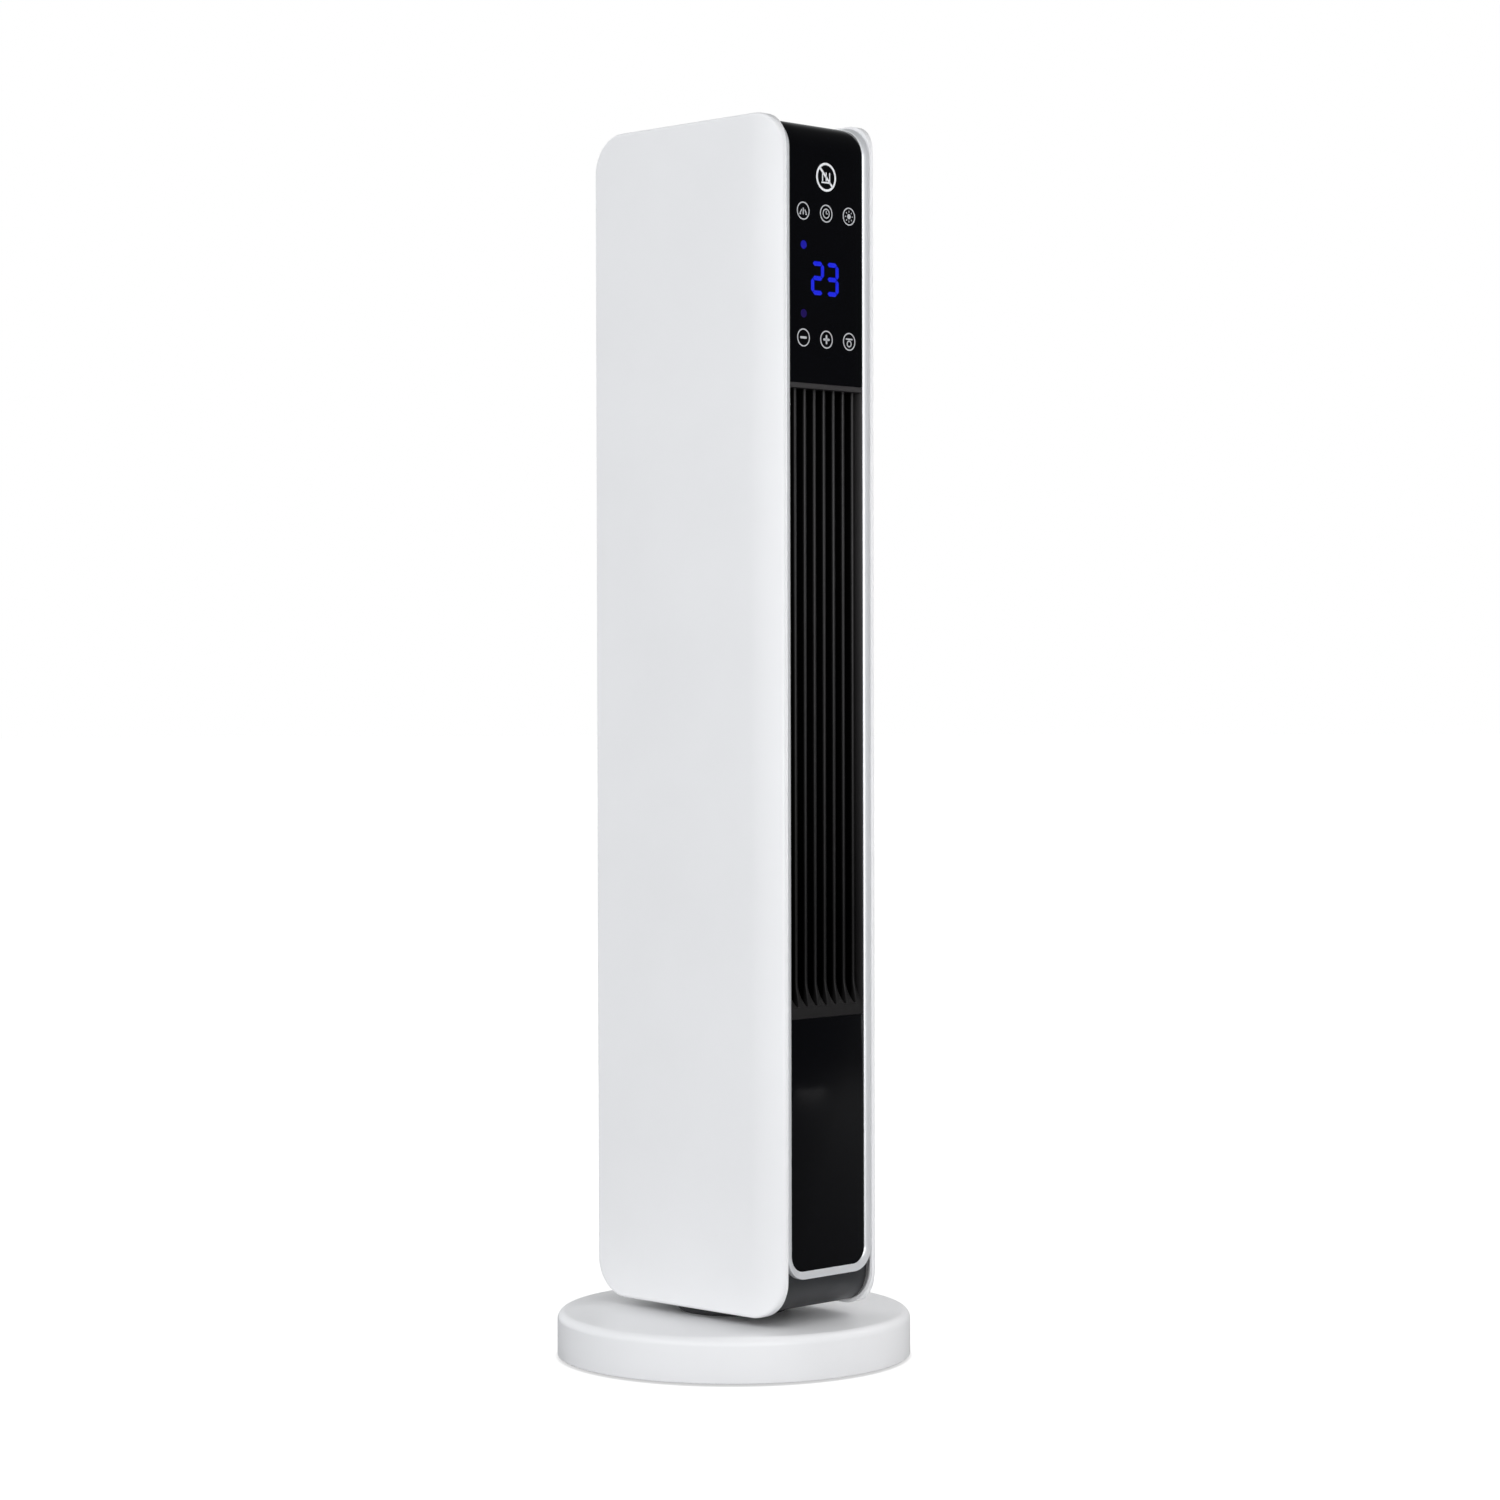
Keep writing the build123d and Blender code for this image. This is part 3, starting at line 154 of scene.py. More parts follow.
def prism(bm, outline, place, depth, edge, steps=3):
    """Extrude a closed outline by depth, with both rims rounded.

    place(u, v, w) gives the point of the outline's (u, v) at height w.
    """
    inset_rings = []
    for index in range(steps + 1):
        angle = pi / 2 * index / steps
        inset_rings.append((edge * (1 - sin(angle)), edge * (1 - cos(angle))))
    levels = inset_rings + [(inset, depth - height) for inset, height in reversed(inset_rings)]
    rings = [[place(u, v, height) for u, v in inset_outline(outline, inset)] for inset, height in levels]
    add_rings(bm, rings)


def inset_outline(outline, distance):
    """Move each point of a counter-clockwise outline inwards, keeping its neighbours parallel."""
    if distance == 0:
        return list(outline)
    count = len(outline)
    moved = []
    for index, (x, y) in enumerate(outline):
        px, py = outline[index - 1]
        nx, ny = outline[(index + 1) % count]
        ax, ay = x - px, y - py
        bx, by = nx - x, ny - y
        la = hypot(ax, ay) or 1e-9
        lb = hypot(bx, by) or 1e-9
        n1 = Vector((-ay / la, ax / la))
        n2 = Vector((-by / lb, bx / lb))
        middle = n1 + n2
        middle.normalize()
        scale = distance / max(0.35, middle.dot(n1))
        moved.append((x + middle.x * scale, y + middle.y * scale))
    return moved


def facing_front(y_face):
    """Place for an outline in (X, Z) whose depth runs from y_face towards -Y."""
    return lambda u, v, w: (u, y_face - w, v)


# ---------------------------------------------------------------- materials
def new_material(name):
    material = bpy.data.materials.new(name)
    material.use_nodes = True
    nodes = material.node_tree.nodes
    return material, nodes, material.node_tree.links, nodes["Principled BSDF"]


def noise_node(nodes, links, scale, detail=3.0, stretch=None):
    """Noise in object coordinates; scale is in features per metre."""
    place = nodes.new("ShaderNodeTexCoord")
    noise = nodes.new("ShaderNodeTexNoise")
    noise.inputs["Scale"].default_value = scale
    noise.inputs["Detail"].default_value = detail
    source = place.outputs["Object"]
    if stretch:
        mapping = nodes.new("ShaderNodeMapping")
        mapping.inputs["Scale"].default_value = stretch
        links.new(source, mapping.inputs["Vector"])
        source = mapping.outputs["Vector"]
    links.new(source, noise.inputs["Vector"])
    return noise


def ramp_between(nodes, links, source, low, high, start=0.35, end=0.65):
    ramp = nodes.new("ShaderNodeValToRGB")
    ramp.color_ramp.elements[0].position = start
    ramp.color_ramp.elements[1].position = end
    ramp.color_ramp.elements[0].color = (*low, 1)
    ramp.color_ramp.elements[1].color = (*high, 1)
    links.new(source, ramp.inputs["Fac"])
    return ramp.outputs["Color"]


def value_between(nodes, links, source, low, high, start=0.3, end=0.7):
    """Value that runs from low to high while the source runs from start to end."""
    spread = nodes.new("ShaderNodeMapRange")
    spread.inputs["From Min"].default_value = start
    spread.inputs["From Max"].default_value = end
    spread.inputs["To Min"].default_value = low
    spread.inputs["To Max"].default_value = high
    links.new(source, spread.inputs["Value"])
    return spread.outputs["Result"]


def math_node(nodes, links, operation, first, second):
    """Arithmetic on a source and either another source or a plain number."""
    node = nodes.new("ShaderNodeMath")
    node.operation = operation
    links.new(first, node.inputs[0])
    if isinstance(second, (int, float)):
        node.inputs[1].default_value = second
    else:
        links.new(second, node.inputs[1])
    return node.outputs["Value"]


def bump_from(nodes, links, source, shader, distance_mm, strength):
    bump = nodes.new("ShaderNodeBump")
    bump.inputs["Distance"].default_value = distance_mm * MM
    bump.inputs["Strength"].default_value = strength
    links.new(source, bump.inputs["Height"])
    links.new(bump.outputs["Normal"], shader.inputs["Normal"])


PLASTIC_IOR = 1.49
PLASTIC_BUMP_MM = 0.02
METAL_BUMP_MM = 0.01


def plastic(name, colour, roughness, grain_mm=0.5, grain=0.15, drift=0.06, level=0.5):
    """Moulded plastic: fine surface grain, slow colour drift and uneven gloss."""
    material, nodes, links, shader = new_material(name)
    fine = noise_node(nodes, links, 1000.0 / grain_mm, 2.0)
    slow = noise_node(nodes, links, 9.0, 3.0)
    darker = tuple(c * (1 - drift) for c in colour)
    lighter = tuple(min(1.0, c * (1 + drift * 0.5)) for c in colour)
    links.new(ramp_between(nodes, links, slow.outputs["Fac"], darker, lighter), shader.inputs["Base Color"])
    patch = noise_node(nodes, links, 60.0, 4.0)
    gloss = value_between(nodes, links, patch.outputs["Fac"], roughness * 0.92, roughness * 1.08)
    links.new(gloss, shader.inputs["Roughness"])
    bump_from(nodes, links, fine.outputs["Fac"], shader, PLASTIC_BUMP_MM, grain)
    shader.inputs["IOR"].default_value = PLASTIC_IOR
    shader.inputs["Specular IOR Level"].default_value = level
    return material


def metal(name, colour, roughness, stretch=(40.0, 40.0, 1.5), grain=0.12, metallic=1.0, drift=0.07,
          streak=0.15):
    """Metal with fine drawn lines, slow colour drift and slightly uneven gloss."""
    material, nodes, links, shader = new_material(name)
    lines = noise_node(nodes, links, 60.0, 4.0, stretch)
    cloud = noise_node(nodes, links, 40.0, 3.0)
    darker = tuple(c * (1 - drift) for c in colour)
    links.new(ramp_between(nodes, links, cloud.outputs["Fac"], darker, colour), shader.inputs["Base Color"])
    smooth, rough = roughness * (1 - streak), roughness * (1 + streak)
    gloss = value_between(nodes, links, lines.outputs["Fac"], smooth, rough)
    links.new(gloss, shader.inputs["Roughness"])
    bump_from(nodes, links, lines.outputs["Fac"], shader, METAL_BUMP_MM, grain)
    shader.inputs["Metallic"].default_value = metallic
    return material


# Scale of the net's two crossed waves: a thread about every 0.75 mm.
NET_SCALE = 1000.0 / 2.4


def net(name, colour):
    """Woven net: two crossed wave patterns thread over and under, with painted shade darkening the gaps
    between threads.
    """
    material, nodes, links, shader = new_material(name)
    place = nodes.new("ShaderNodeTexCoord")
    height = None
    for direction in ("X", "Z"):
        wave = nodes.new("ShaderNodeTexWave")
        wave.bands_direction = direction
        wave.inputs["Scale"].default_value = NET_SCALE
        links.new(place.outputs["Object"], wave.inputs["Vector"])
        if height is None:
            height = wave.outputs["Fac"]
        else:
            height = math_node(nodes, links, "MAXIMUM", height, wave.outputs["Fac"])
    # Painted shade: the gaps between the threads are darkened.
    painted_gap_shade = tuple(c * 0.25 for c in colour)
    links.new(ramp_between(nodes, links, height, painted_gap_shade, colour, 0.4, 0.8), shader.inputs["Base Color"])
    bump_from(nodes, links, height, shader, 0.2, 0.6)
    shader.inputs["Roughness"].default_value = 0.7
    return material


def light_print(name, colour, glow):
    """Printed or lit mark: a slightly uneven, softly glowing ink; on printed marks the glow is painted
    light.
    """
    material, nodes, links, shader = new_material(name)
    cloud = noise_node(nodes, links, 900.0, 2.0)
    dim = tuple(c * 0.86 for c in colour)
    shade = ramp_between(nodes, links, cloud.outputs["Fac"], dim, colour)
    links.new(shade, shader.inputs["Base Color"])
    links.new(shade, shader.inputs["Emission Color"])
    shader.inputs["Emission Strength"].default_value = glow
    shader.inputs["Roughness"].default_value = 0.4
    return material


def circuit_board(name):
    """Solder resist with copper tracks showing faintly through it."""
    material, nodes, links, shader = new_material(name)
    place = nodes.new("ShaderNodeTexCoord")
    cells = nodes.new("ShaderNodeTexVoronoi")
    cells.distance = "MANHATTAN"
    cells.inputs["Scale"].default_value = 260.0
    links.new(place.outputs["Object"], cells.inputs["Vector"])
    gap, track = (0.012, 0.10, 0.045), (0.03, 0.20, 0.09)
    shade = ramp_between(nodes, links, cells.outputs["Distance"], gap, track, 0.2, 0.5)
    links.new(shade, shader.inputs["Base Color"])
    bump_from(nodes, links, cells.outputs["Distance"], shader, 0.03, 0.4)
    shader.inputs["Roughness"].default_value = 0.32
    return material


# Painted shade and light in the grille's colour: painted shade low at its foot, full above, and painted
# light lifting it where it comes forward to the glass.
PAINTED_FOOT_SHADE = 0.40
FOOT_Z = 0.30
CLEAR_Z = 0.55
PAINTED_FRONT_LIGHT = 1.9
LIFT_FULL = 0.0052
LIFT_NONE = 0.0008


def plastic_with_painted_shade(name, colour, roughness, front_y, back_y, painted_depth_shade):
    """Dark plastic with painted shade: colour and sheen darken with depth, from front_y to back_y, and
    towards its foot, and painted light lifts the colour in front of front_y.
    """
    material = plastic(name, colour, roughness, grain_mm=0.5, grain=0.12, level=0.5)
    nodes, links = material.node_tree.nodes, material.node_tree.links
    shader = nodes["Principled BSDF"]
    place = nodes.new("ShaderNodeTexCoord")
    split = nodes.new("ShaderNodeSeparateXYZ")
    links.new(place.outputs["Object"], split.inputs["Vector"])
    # Painted shade: darker with depth along Y and towards the foot along Z.
    painted_depth_fade = value_between(nodes, links, split.outputs["Y"], 1.0, painted_depth_shade, front_y, back_y)
    foot = value_between(nodes, links, split.outputs["Z"], PAINTED_FOOT_SHADE, 1.0, FOOT_Z, CLEAR_Z)
    shade = math_node(nodes, links, "MULTIPLY", painted_depth_fade, foot)
    # Painted light: the colour is lifted where the grille comes forward to the glass.
    near, far = front_y - LIFT_FULL, front_y - LIFT_NONE
    painted_front_light = value_between(nodes, links, split.outputs["Y"], PAINTED_FRONT_LIGHT, 1.0, near, far)
    tint = nodes.new("ShaderNodeVectorMath")
    tint.operation = "SCALE"
    links.new(shader.inputs["Base Color"].links[0].from_socket, tint.inputs[0])
    links.new(math_node(nodes, links, "MULTIPLY", shade, painted_front_light), tint.inputs["Scale"])
    links.new(tint.outputs["Vector"], shader.inputs["Base Color"])
    # The painted shade also dims the sheen.
    links.new(math_node(nodes, links, "MULTIPLY", shade, 0.5), shader.inputs["Specular IOR Level"])
    return material


WHITE = plastic("white_plastic", (0.86, 0.86, 0.868), 0.34, grain_mm=0.8, grain=0.05, drift=0.015)
GLOSS_BLACK = plastic("gloss_black", (0.0009, 0.0010, 0.0018), 0.06, grain_mm=6.0, grain=0.008, drift=0.1)
SILVER = metal("silver_trim", (0.87, 0.88, 0.90), 0.30, grain=0.01, metallic=0.43, drift=0.01, streak=0.03)
DARK_GREY = plastic("dark_grey_plastic", (0.034, 0.035, 0.038), 0.46, grain_mm=0.45, grain=0.35)
# Grille material with painted shade with depth and towards its foot, and painted light at its front.
GRILLE_PAINTED_SHADE = plastic_with_painted_shade("grille_plastic", (0.021, 0.020, 0.0205), 0.42, -0.0823, -0.0806, 0.10)
BLACK = plastic("black_plastic", (0.020, 0.020, 0.022), 0.50, grain_mm=0.5, grain=0.4)
ACETAL = plastic("acetal", (0.78, 0.77, 0.72), 0.38, grain_mm=1.0, grain=0.05)
HEAT_PLASTIC = plastic("heat_plastic", (0.030, 0.027, 0.024), 0.62, grain_mm=0.6, grain=0.3)
ROTOR_PLASTIC = plastic("rotor_plastic", (0.085, 0.085, 0.09), 0.55, grain_mm=0.6, grain=0.3)
PLAIN_BLACK = plastic("display_plastic", (0.03, 0.03, 0.033), 0.45, grain_mm=0.6, grain=0.2)
LED_WHITE = plastic("led_plastic", (0.75, 0.78, 0.80), 0.40, grain_mm=0.5, grain=0.1)
RUBBER = plastic("rubber", (0.018, 0.018, 0.018), 0.80, grain_mm=0.9, grain=0.5, level=0.35)
CERAMIC = plastic("heating_ceramic", (0.50, 0.45, 0.39), 0.75, grain_mm=1.2, grain=0.6, drift=0.15)
ROCKER = plastic("rocker_plastic", (0.014, 0.014, 0.015), 0.16, grain_mm=3.0, grain=0.02)
STEEL = metal("steel", (0.55, 0.55, 0.56), 0.28)
ZINC = metal("zinc_steel", (0.62, 0.63, 0.65), 0.38, stretch=(3.0, 3.0, 3.0))
BRONZE = metal("sintered_bronze", (0.50, 0.36, 0.20), 0.50, stretch=(6.0, 6.0, 6.0), grain=0.4)
FINS = metal("fin_aluminium", (0.45, 0.44, 0.43), 0.42)
PAINTED = plastic("base_steel", (0.09, 0.09, 0.10), 0.45, grain_mm=1.5, grain=0.3)
NET = net("filter_net", (0.06, 0.06, 0.065))
BOARD = circuit_board("circuit_board")
# The key and sign prints get a faint glow: painted light, as they are printed marks and no lamps.
KEY_PRINT_PAINTED_GLOW = light_print("key_print", (0.50, 0.51, 0.53), 0.08)
SIGN_PRINT_PAINTED_GLOW = light_print("sign_print", (0.78, 0.79, 0.81), 0.12)
DIGIT = light_print("digit_glow", (0.0, 0.006, 0.48), 0.62)
MID_LIGHT = light_print("mid_glow", (0.003, 0.002, 0.26), 0.50)
DIM_LIGHT = light_print("dim_glow", (0.007, 0.0, 0.07), 0.3)

SLOT_MATERIAL = {
    "white_plastic": WHITE, "gloss_black": GLOSS_BLACK, "silver_trim": SILVER,
    "dark_grey_plastic": DARK_GREY, "grille_plastic": GRILLE_PAINTED_SHADE, "black_plastic": BLACK,
    "filter_net": NET, "rocker_plastic": ROCKER, "base_steel": PAINTED, "zinc_steel": ZINC,
    "steel": STEEL, "rubber": RUBBER, "acetal": ACETAL, "sintered_bronze": BRONZE,
    "rotor_plastic": ROTOR_PLASTIC, "heat_plastic": HEAT_PLASTIC, "heating_ceramic": CERAMIC,
    "fin_aluminium": FINS, "circuit_board": BOARD, "display_plastic": PLAIN_BLACK,
    "led_plastic": LED_WHITE,
}


def dress_cad_nodes():
    """Give every CAD node the procedural material of its slot in the record."""
    for part in frame["record"]["subparts"]:
        node = frame["nodes"][part["node"]]
        for slot in node.material_slots:
            slot.material = SLOT_MATERIAL[part["material_slot"]]


# ---------------------------------------------------------------- side panels
PANEL_CORNER = 26.0
PANEL_BROW_R = 20.0
PANEL_EDGE = 2.0
PANEL_WALL = 2.5
CROWN_START = 25.3
CROWN_R = 57.0


def panel_side_distance(y, z, low, high):
    """Distance from (y, z) in to the panel's rounded outline, and the outward direction there."""
    cy, cz = (low.y + high.y) / 2, (low.z + high.z) / 2
    radius = PANEL_BROW_R if y < cy and z > cz else PANEL_CORNER
    qy = abs(y - cy) - ((high.y - low.y) / 2 - radius)
    qz = abs(z - cz) - ((high.z - low.z) / 2 - radius)
    sign_y = 1 if y > cy else -1
    sign_z = 1 if z > cz else -1
    reach = hypot(max(qy, 0), max(qz, 0))
    inside = radius - reach - min(max(qy, qz), 0)
    if qy > 0 and qz > 0:
        return inside, (sign_y * qy / reach, sign_z * qz / reach)
    if qy > qz:
        return inside, (sign_y, 0)
    return inside, (0, sign_z)


def panel_height(y, z, low, high):
    """How far out the panel's skin stands at (y, z)."""
    bend = max(0.0, low.y + CROWN_START - y)
    skin = high.x - (CROWN_R - sqrt(CROWN_R ** 2 - bend ** 2))
    inside = max(0.0, panel_side_distance(y, z, low, high)[0])
    if inside < PANEL_EDGE:
        skin -= PANEL_EDGE - sqrt(PANEL_EDGE ** 2 - (PANEL_EDGE - inside) ** 2)
    return skin


def panel_stations(low, high):
    """Places along Y, close together where the outline and the crown turn."""
    steps = 26
    turn = [PANEL_CORNER * (1 - cos(pi / 2 * k / steps)) for k in range(steps + 1)]
    front = [low.y + t for t in turn]
    rear = [high.y - t for t in reversed(turn)]
    flat = 12
    gap = rear[0] - front[-1]
    middle = [front[-1] + gap * k / flat for k in range(1, flat)]
    return front + middle + rear


def corner_lift(distance, radius):
    """Height of a rounded corner above its square corner, at a distance from the upright edge."""
    reach = radius - min(distance, radius)
    return radius - sqrt(radius ** 2 - reach ** 2)


def panel_column(y, low, high):
    """Points of one column from the bottom edge to the top edge."""
    front, rear = y - low.y, high.y - y
    top_radius = PANEL_BROW_R if front < rear else PANEL_CORNER
    z0 = low.z + corner_lift(min(front, rear), PANEL_CORNER)
    z1 = high.z - corner_lift(min(front, rear), top_radius)
    edge_steps = 9
    near = [PANEL_EDGE * 1.02 * (1 - cos(pi / 2 * k / edge_steps)) for k in range(edge_steps + 1)]
    band = [4.0, 8.0, 14.0, 20.0, 28.0]
    offsets = near + band
    start, end = z0 + offsets[-1], z1 - offsets[-1]
    flat = 22
    middle = [start + (end - start) * k / flat for k in range(1, flat)]
    return [z0 + o for o in offsets] + middle + [z1 - o for o in reversed(offsets)]


def side_panel(side):
    """White crowned side cover with rounded rims and a returned inner edge."""
    low, high = box_mm("side_panel_right")
    stations = panel_stations(low, high)
    columns = [panel_column(y, low, high) for y in stations]
    bm = bmesh.new()

    def vertex(x, y, z):
        return bm.verts.new((side * x * MM, y * MM, z * MM))

    grid = []
    for y, column in zip(stations, columns):
        grid.append([vertex(panel_height(y, z, low, high), y, z) for z in column])
    for first, second in zip(grid, grid[1:]):
        for index in range(len(first) - 1):
            bm.faces.new((first[index], second[index], second[index + 1], first[index + 1]))
    bottom = [(y, column[0]) for y, column in zip(stations, columns)]
    rear = [(stations[-1], z) for z in columns[-1][1:-1]]
    top = [(y, column[-1]) for y, column in reversed(list(zip(stations, columns)))]
    front = [(stations[0], z) for z in reversed(columns[0][1:-1])]
    loop = bottom + rear + top + front
    rim = [row[0] for row in grid] + grid[-1][1:-1] + [row[-1] for row in reversed(grid)]
    rim += list(reversed(grid[0][1:-1]))
    root = low.x
    rim_levels = [(0.0, root + 0.2), (0.06, root + 0.06), (0.2, root)]
    wall_levels = [(PANEL_WALL, root), (PANEL_WALL, root + 4.0)]
    previous = rim
    for inset, x in rim_levels + wall_levels:
        ring = []
        for y, z in loop:
            out = panel_side_distance(y, z, low, high)[1]
            ring.append(vertex(x, y - out[0] * inset, z - out[1] * inset))
        for index in range(len(ring)):
            after = (index + 1) % len(ring)
            bm.faces.new((previous[index], previous[after], ring[after], ring[index]))
        previous = ring
    bm.faces.new(previous)
    name = "white_side_right" if side > 0 else "white_side_left"
    node = "side_panel_right" if side > 0 else "side_panel_left"
    finish_mesh(name, bm_to_mesh(name, bm), TOWER, WHITE, (node,), sharp=50)


# ---------------------------------------------------------------- base cover
BASE_WALL = 2.5
BASE_EDGE = 6.0
BASE_FOOT_R = 0.8
PIVOT_HOLE_R = 27.05
LEAD_HOLE_R = 6.6
BASE_SEGMENTS = 256


def base_cover():
    """Round white cover, turned from one profile, with a soft top edge and a hole for the lead."""
    low, high = box_mm("base_cover")
    outer = high.x
    wall, edge, foot, hole = BASE_WALL, BASE_EDGE, BASE_FOOT_R, PIVOT_HOLE_R
    rim = low.z
    top = high.z
    profile = [(hole, top - wall), (hole, top - 0.3), (hole + 0.3, top)]
    profile += [(hole + (outer - edge - hole) * k / 6, top) for k in range(1, 6)]
    profile += arc_points(outer - edge, top - edge, edge, 90, 0, 14)
    profile += [(outer, (top - edge + rim) / 2), (outer, rim + foot)]
    profile += arc_points(outer - foot, rim + foot, foot, 0, -90, 4)
    profile += [(outer - wall, rim)]
    inner = outer - wall
    profile += arc_points(inner - edge + wall, top - edge, edge - wall, 0, 90, 8)
    bm = bmesh.new()
    add_rings(bm, revolve_rings(profile, BASE_SEGMENTS), loop=True)
    lead_low, lead_high = box_mm("inlet_grommet")
    drill = bmesh.new()
    hole_z = (lead_low.z + lead_high.z) / 2
    rings = []
    for y in (lead_low.y - 3.0, outer + 3.0):
        rings.append([(x, y, z) for x, z in arc_points(0, hole_z, LEAD_HOLE_R, 0, 354.375, 63)])
    add_rings(drill, rings)
    mesh = cut_mesh("base_cover_skin", bm_to_mesh("base_cover_skin", bm), bm_to_mesh("lead_hole", drill))
    finish_mesh("base_cover_skin", mesh, BASE, WHITE, ("base_cover",))


# ---------------------------------------------------------------- black fascia and trim
TOP_TURN = 20.0
FASCIA_THICK = 2.3
FASCIA_EDGE = 0.5
LOWER_FASCIA_EDGE = 0.45
GLASS_CORNER = 11.0
TOP_CORNER = 0.4
TRIM_GAP = 0.15
TRIM_RISE = 1.85
TRIM_THICK = 4.5
SKIRT_TURN = 23.0
SKIRT_THICK = 2.2
SKIRT_EDGE = 0.4


def front_path(face_y, top_z, turn, z_low, y_back, steps=20):
    """Points (y, z, ny, nz) up the front, round the top corner and back."""
    centre_y, centre_z = face_y + turn, top_z - turn
    rise = 8
    path = [(face_y, z_low + (centre_z - z_low) * k / rise, -1.0, 0.0) for k in range(rise)]
    for index in range(steps + 1):
        angle = pi - pi / 2 * index / steps
        path.append((centre_y + turn * cos(angle), centre_z + turn * sin(angle), cos(angle), sin(angle)))
    run = 6
    path += [(centre_y + (y_back - centre_y) * k / run, top_z, 0.0, 1.0) for k in range(1, run + 1)]
    return path


def strip_section(half, thick, edge, steps=4):
    """Cross-section (x, depth below the face) of a strip with rounded front rims."""
    points = [(-half, -thick), (half, -thick)]
    points += arc_points(half - edge, -edge, edge, 0, 90, steps)
    spread = 6
    points += [(half - edge - (2 * half - 2 * edge) * k / spread, 0.0) for k in range(1, spread)]
    points += arc_points(-half + edge, -edge, edge, 90, 180, steps)
    return points


def strip_rings(path, section):
    return [[(x, y + ny * depth, z + nz * depth) for x, depth in section] for y, z, ny, nz in path]


def upper_fascia():
    """Gloss black sheet that carries the keys and bends over the top."""
    low, high = box_mm("upper_fascia")
    path = front_path(low.y, high.z, TOP_TURN, low.z, high.y)
    section = strip_section(high.x, FASCIA_THICK, FASCIA_EDGE)
    rings_piece("fascia_upper", strip_rings(path, section), TOWER, GLOSS_BLACK,
                ("upper_fascia",))


def lower_fascia():
    """Gloss black sheet below the keys, round at its two lower corners."""
    low, high = box_mm("lower_fascia")
    radii = (GLASS_CORNER, GLASS_CORNER, TOP_CORNER, TOP_CORNER)
    outline = round_rect((low.x, low.z), (high.x, high.z), radii, 12)
    bm = bmesh.new()
    prism(bm, outline, facing_front(high.y), high.y - low.y, LOWER_FASCIA_EDGE)
    finish_mesh("fascia_lower", bm_to_mesh("fascia_lower", bm), TOWER, GLOSS_BLACK,
                ("lower_fascia",))


def trim_section(half, rise, thick):
    """Cross-section (across, depth) of the trim: high at its outer rim and falling in to the glass."""
    rim = 0.5
    steps = 16
    fullness = 1.25
    points = [(-half, -thick), (half, -thick)]
    points += arc_points(half - rim, -rim, rim, 0, 90, 5)
    width = 2 * half - rim
    for index in range(1, steps + 1):
        share = sin(pi / 2 * index / steps)
        fall = 1 - (1 - share ** fullness) ** (1 / fullness) if index < steps else 1.0
        points.append((half - rim - width * share, -rise * fall))
    return points


def front_trim():
    """Silver U-shaped trim swept as one strip: down one side, across and up the other."""
    low, high = box_mm("front_trim")
    fascia_low, fascia_high = box_mm("upper_fascia")
    inner = fascia_high.x + TRIM_GAP
    half = (high.x - inner) / 2
    centre_x = inner + half
    turn = GLASS_CORNER + half
    centre_z = low.z + half
    face_y = low.y
    top_turn = TOP_TURN + fascia_low.y - face_y
    side = front_path(face_y, high.z, top_turn, centre_z + turn, high.y)
    stations = []
    for y, z, ny, nz in reversed(side):
        stations.append(((centre_x, y, z), (1, 0, 0), (0, ny, nz)))
    steps = 16
    for index in range(1, steps + 1):
        angle = -pi / 2 * index / steps
        across = (cos(angle), 0, sin(angle))
        place = (centre_x - turn + turn * cos(angle), face_y, centre_z + turn + turn * sin(angle))
        stations.append((place, across, (0, -1, 0)))
    half_run = list(stations)
    for place, across, out in reversed(half_run):
        stations.append(((-place[0], place[1], place[2]), (-across[0], across[1], across[2]), out))
    section = trim_section(half - 0.05, TRIM_RISE, TRIM_THICK)
    rings = []
    for place, across, out in stations:
        ring = []
        for side_step, depth in section:
            ring.append(tuple(p + a * side_step + o * depth for p, a, o in zip(place, across, out)))
        rings.append(ring)
    rings_piece("trim_silver", rings, TOWER, SILVER, ("front_trim",), sharp=60)


def lower_cover():
    """Dark grey skirt below the trim, rolled under the tower."""
    low, high = box_mm("lower_front_cover")
    turn = SKIRT_TURN
    drop, steps = 6, 18
    path = [(low.y, high.z - (high.z - low.z - turn) * k / drop, -1.0, 0.0) for k in range(drop)]
    for index in range(steps + 1):
        angle = pi + pi / 2 * index / steps
        y, z = low.y + turn + turn * cos(angle), low.z + turn + turn * sin(angle)
        path.append((y, z, cos(angle), sin(angle)))
    path.append((high.y, low.z, 0.0, -1.0))
    section = strip_section(high.x - 0.2, SKIRT_THICK, SKIRT_EDGE)
    rings_piece("skirt_front", strip_rings(path, section), TOWER, DARK_GREY,
                ("lower_front_cover",))


# ---------------------------------------------------------------- outlet grille
VANE_COUNT = 8
VANE_PITCH = 9.19
NOSE_WIDTH = 2.3
NOSE_DEPTH = 1.0
NOSE_STEPS = 8
BODY_WIDTH = 1.5
RECESS = 5.9
RAMP_LOW = 243.0
RAMP_HIGH = 255.5
LIP = 3.4
GRILLE_RIM = 0.8


def grille_frame_rings(low, high):
    """Rings from the back flange over the face, down the inside walls and back out again."""
    face = low.y
    flange = low.y + 2.5
    side = high.x
    inner = side - GRILLE_RIM
    corners = [
        (side, flange, low.z, high.z),
        (side, face + 0.25, low.z, high.z),
        (side - 0.25, face, low.z + 0.25, high.z - 0.25),
        (inner + 0.2, face, RAMP_LOW - 1.0, high.z - LIP + 0.3),
        (inner, face + 0.3, RAMP_LOW, high.z - LIP),
        (inner, face + RECESS, RAMP_LOW + 0.6, high.z - LIP),
        (inner, high.y, RAMP_LOW + 1.0, high.z - LIP),
        (side - 0.4, high.y, low.z + 2, high.z - 2),
        (side - 0.4, flange, low.z + 2, high.z - 2),
    ]
    return [[(x, y, z0), (-x, y, z0), (-x, y, z1), (x, y, z1)] for x, y, z0, z1 in corners]


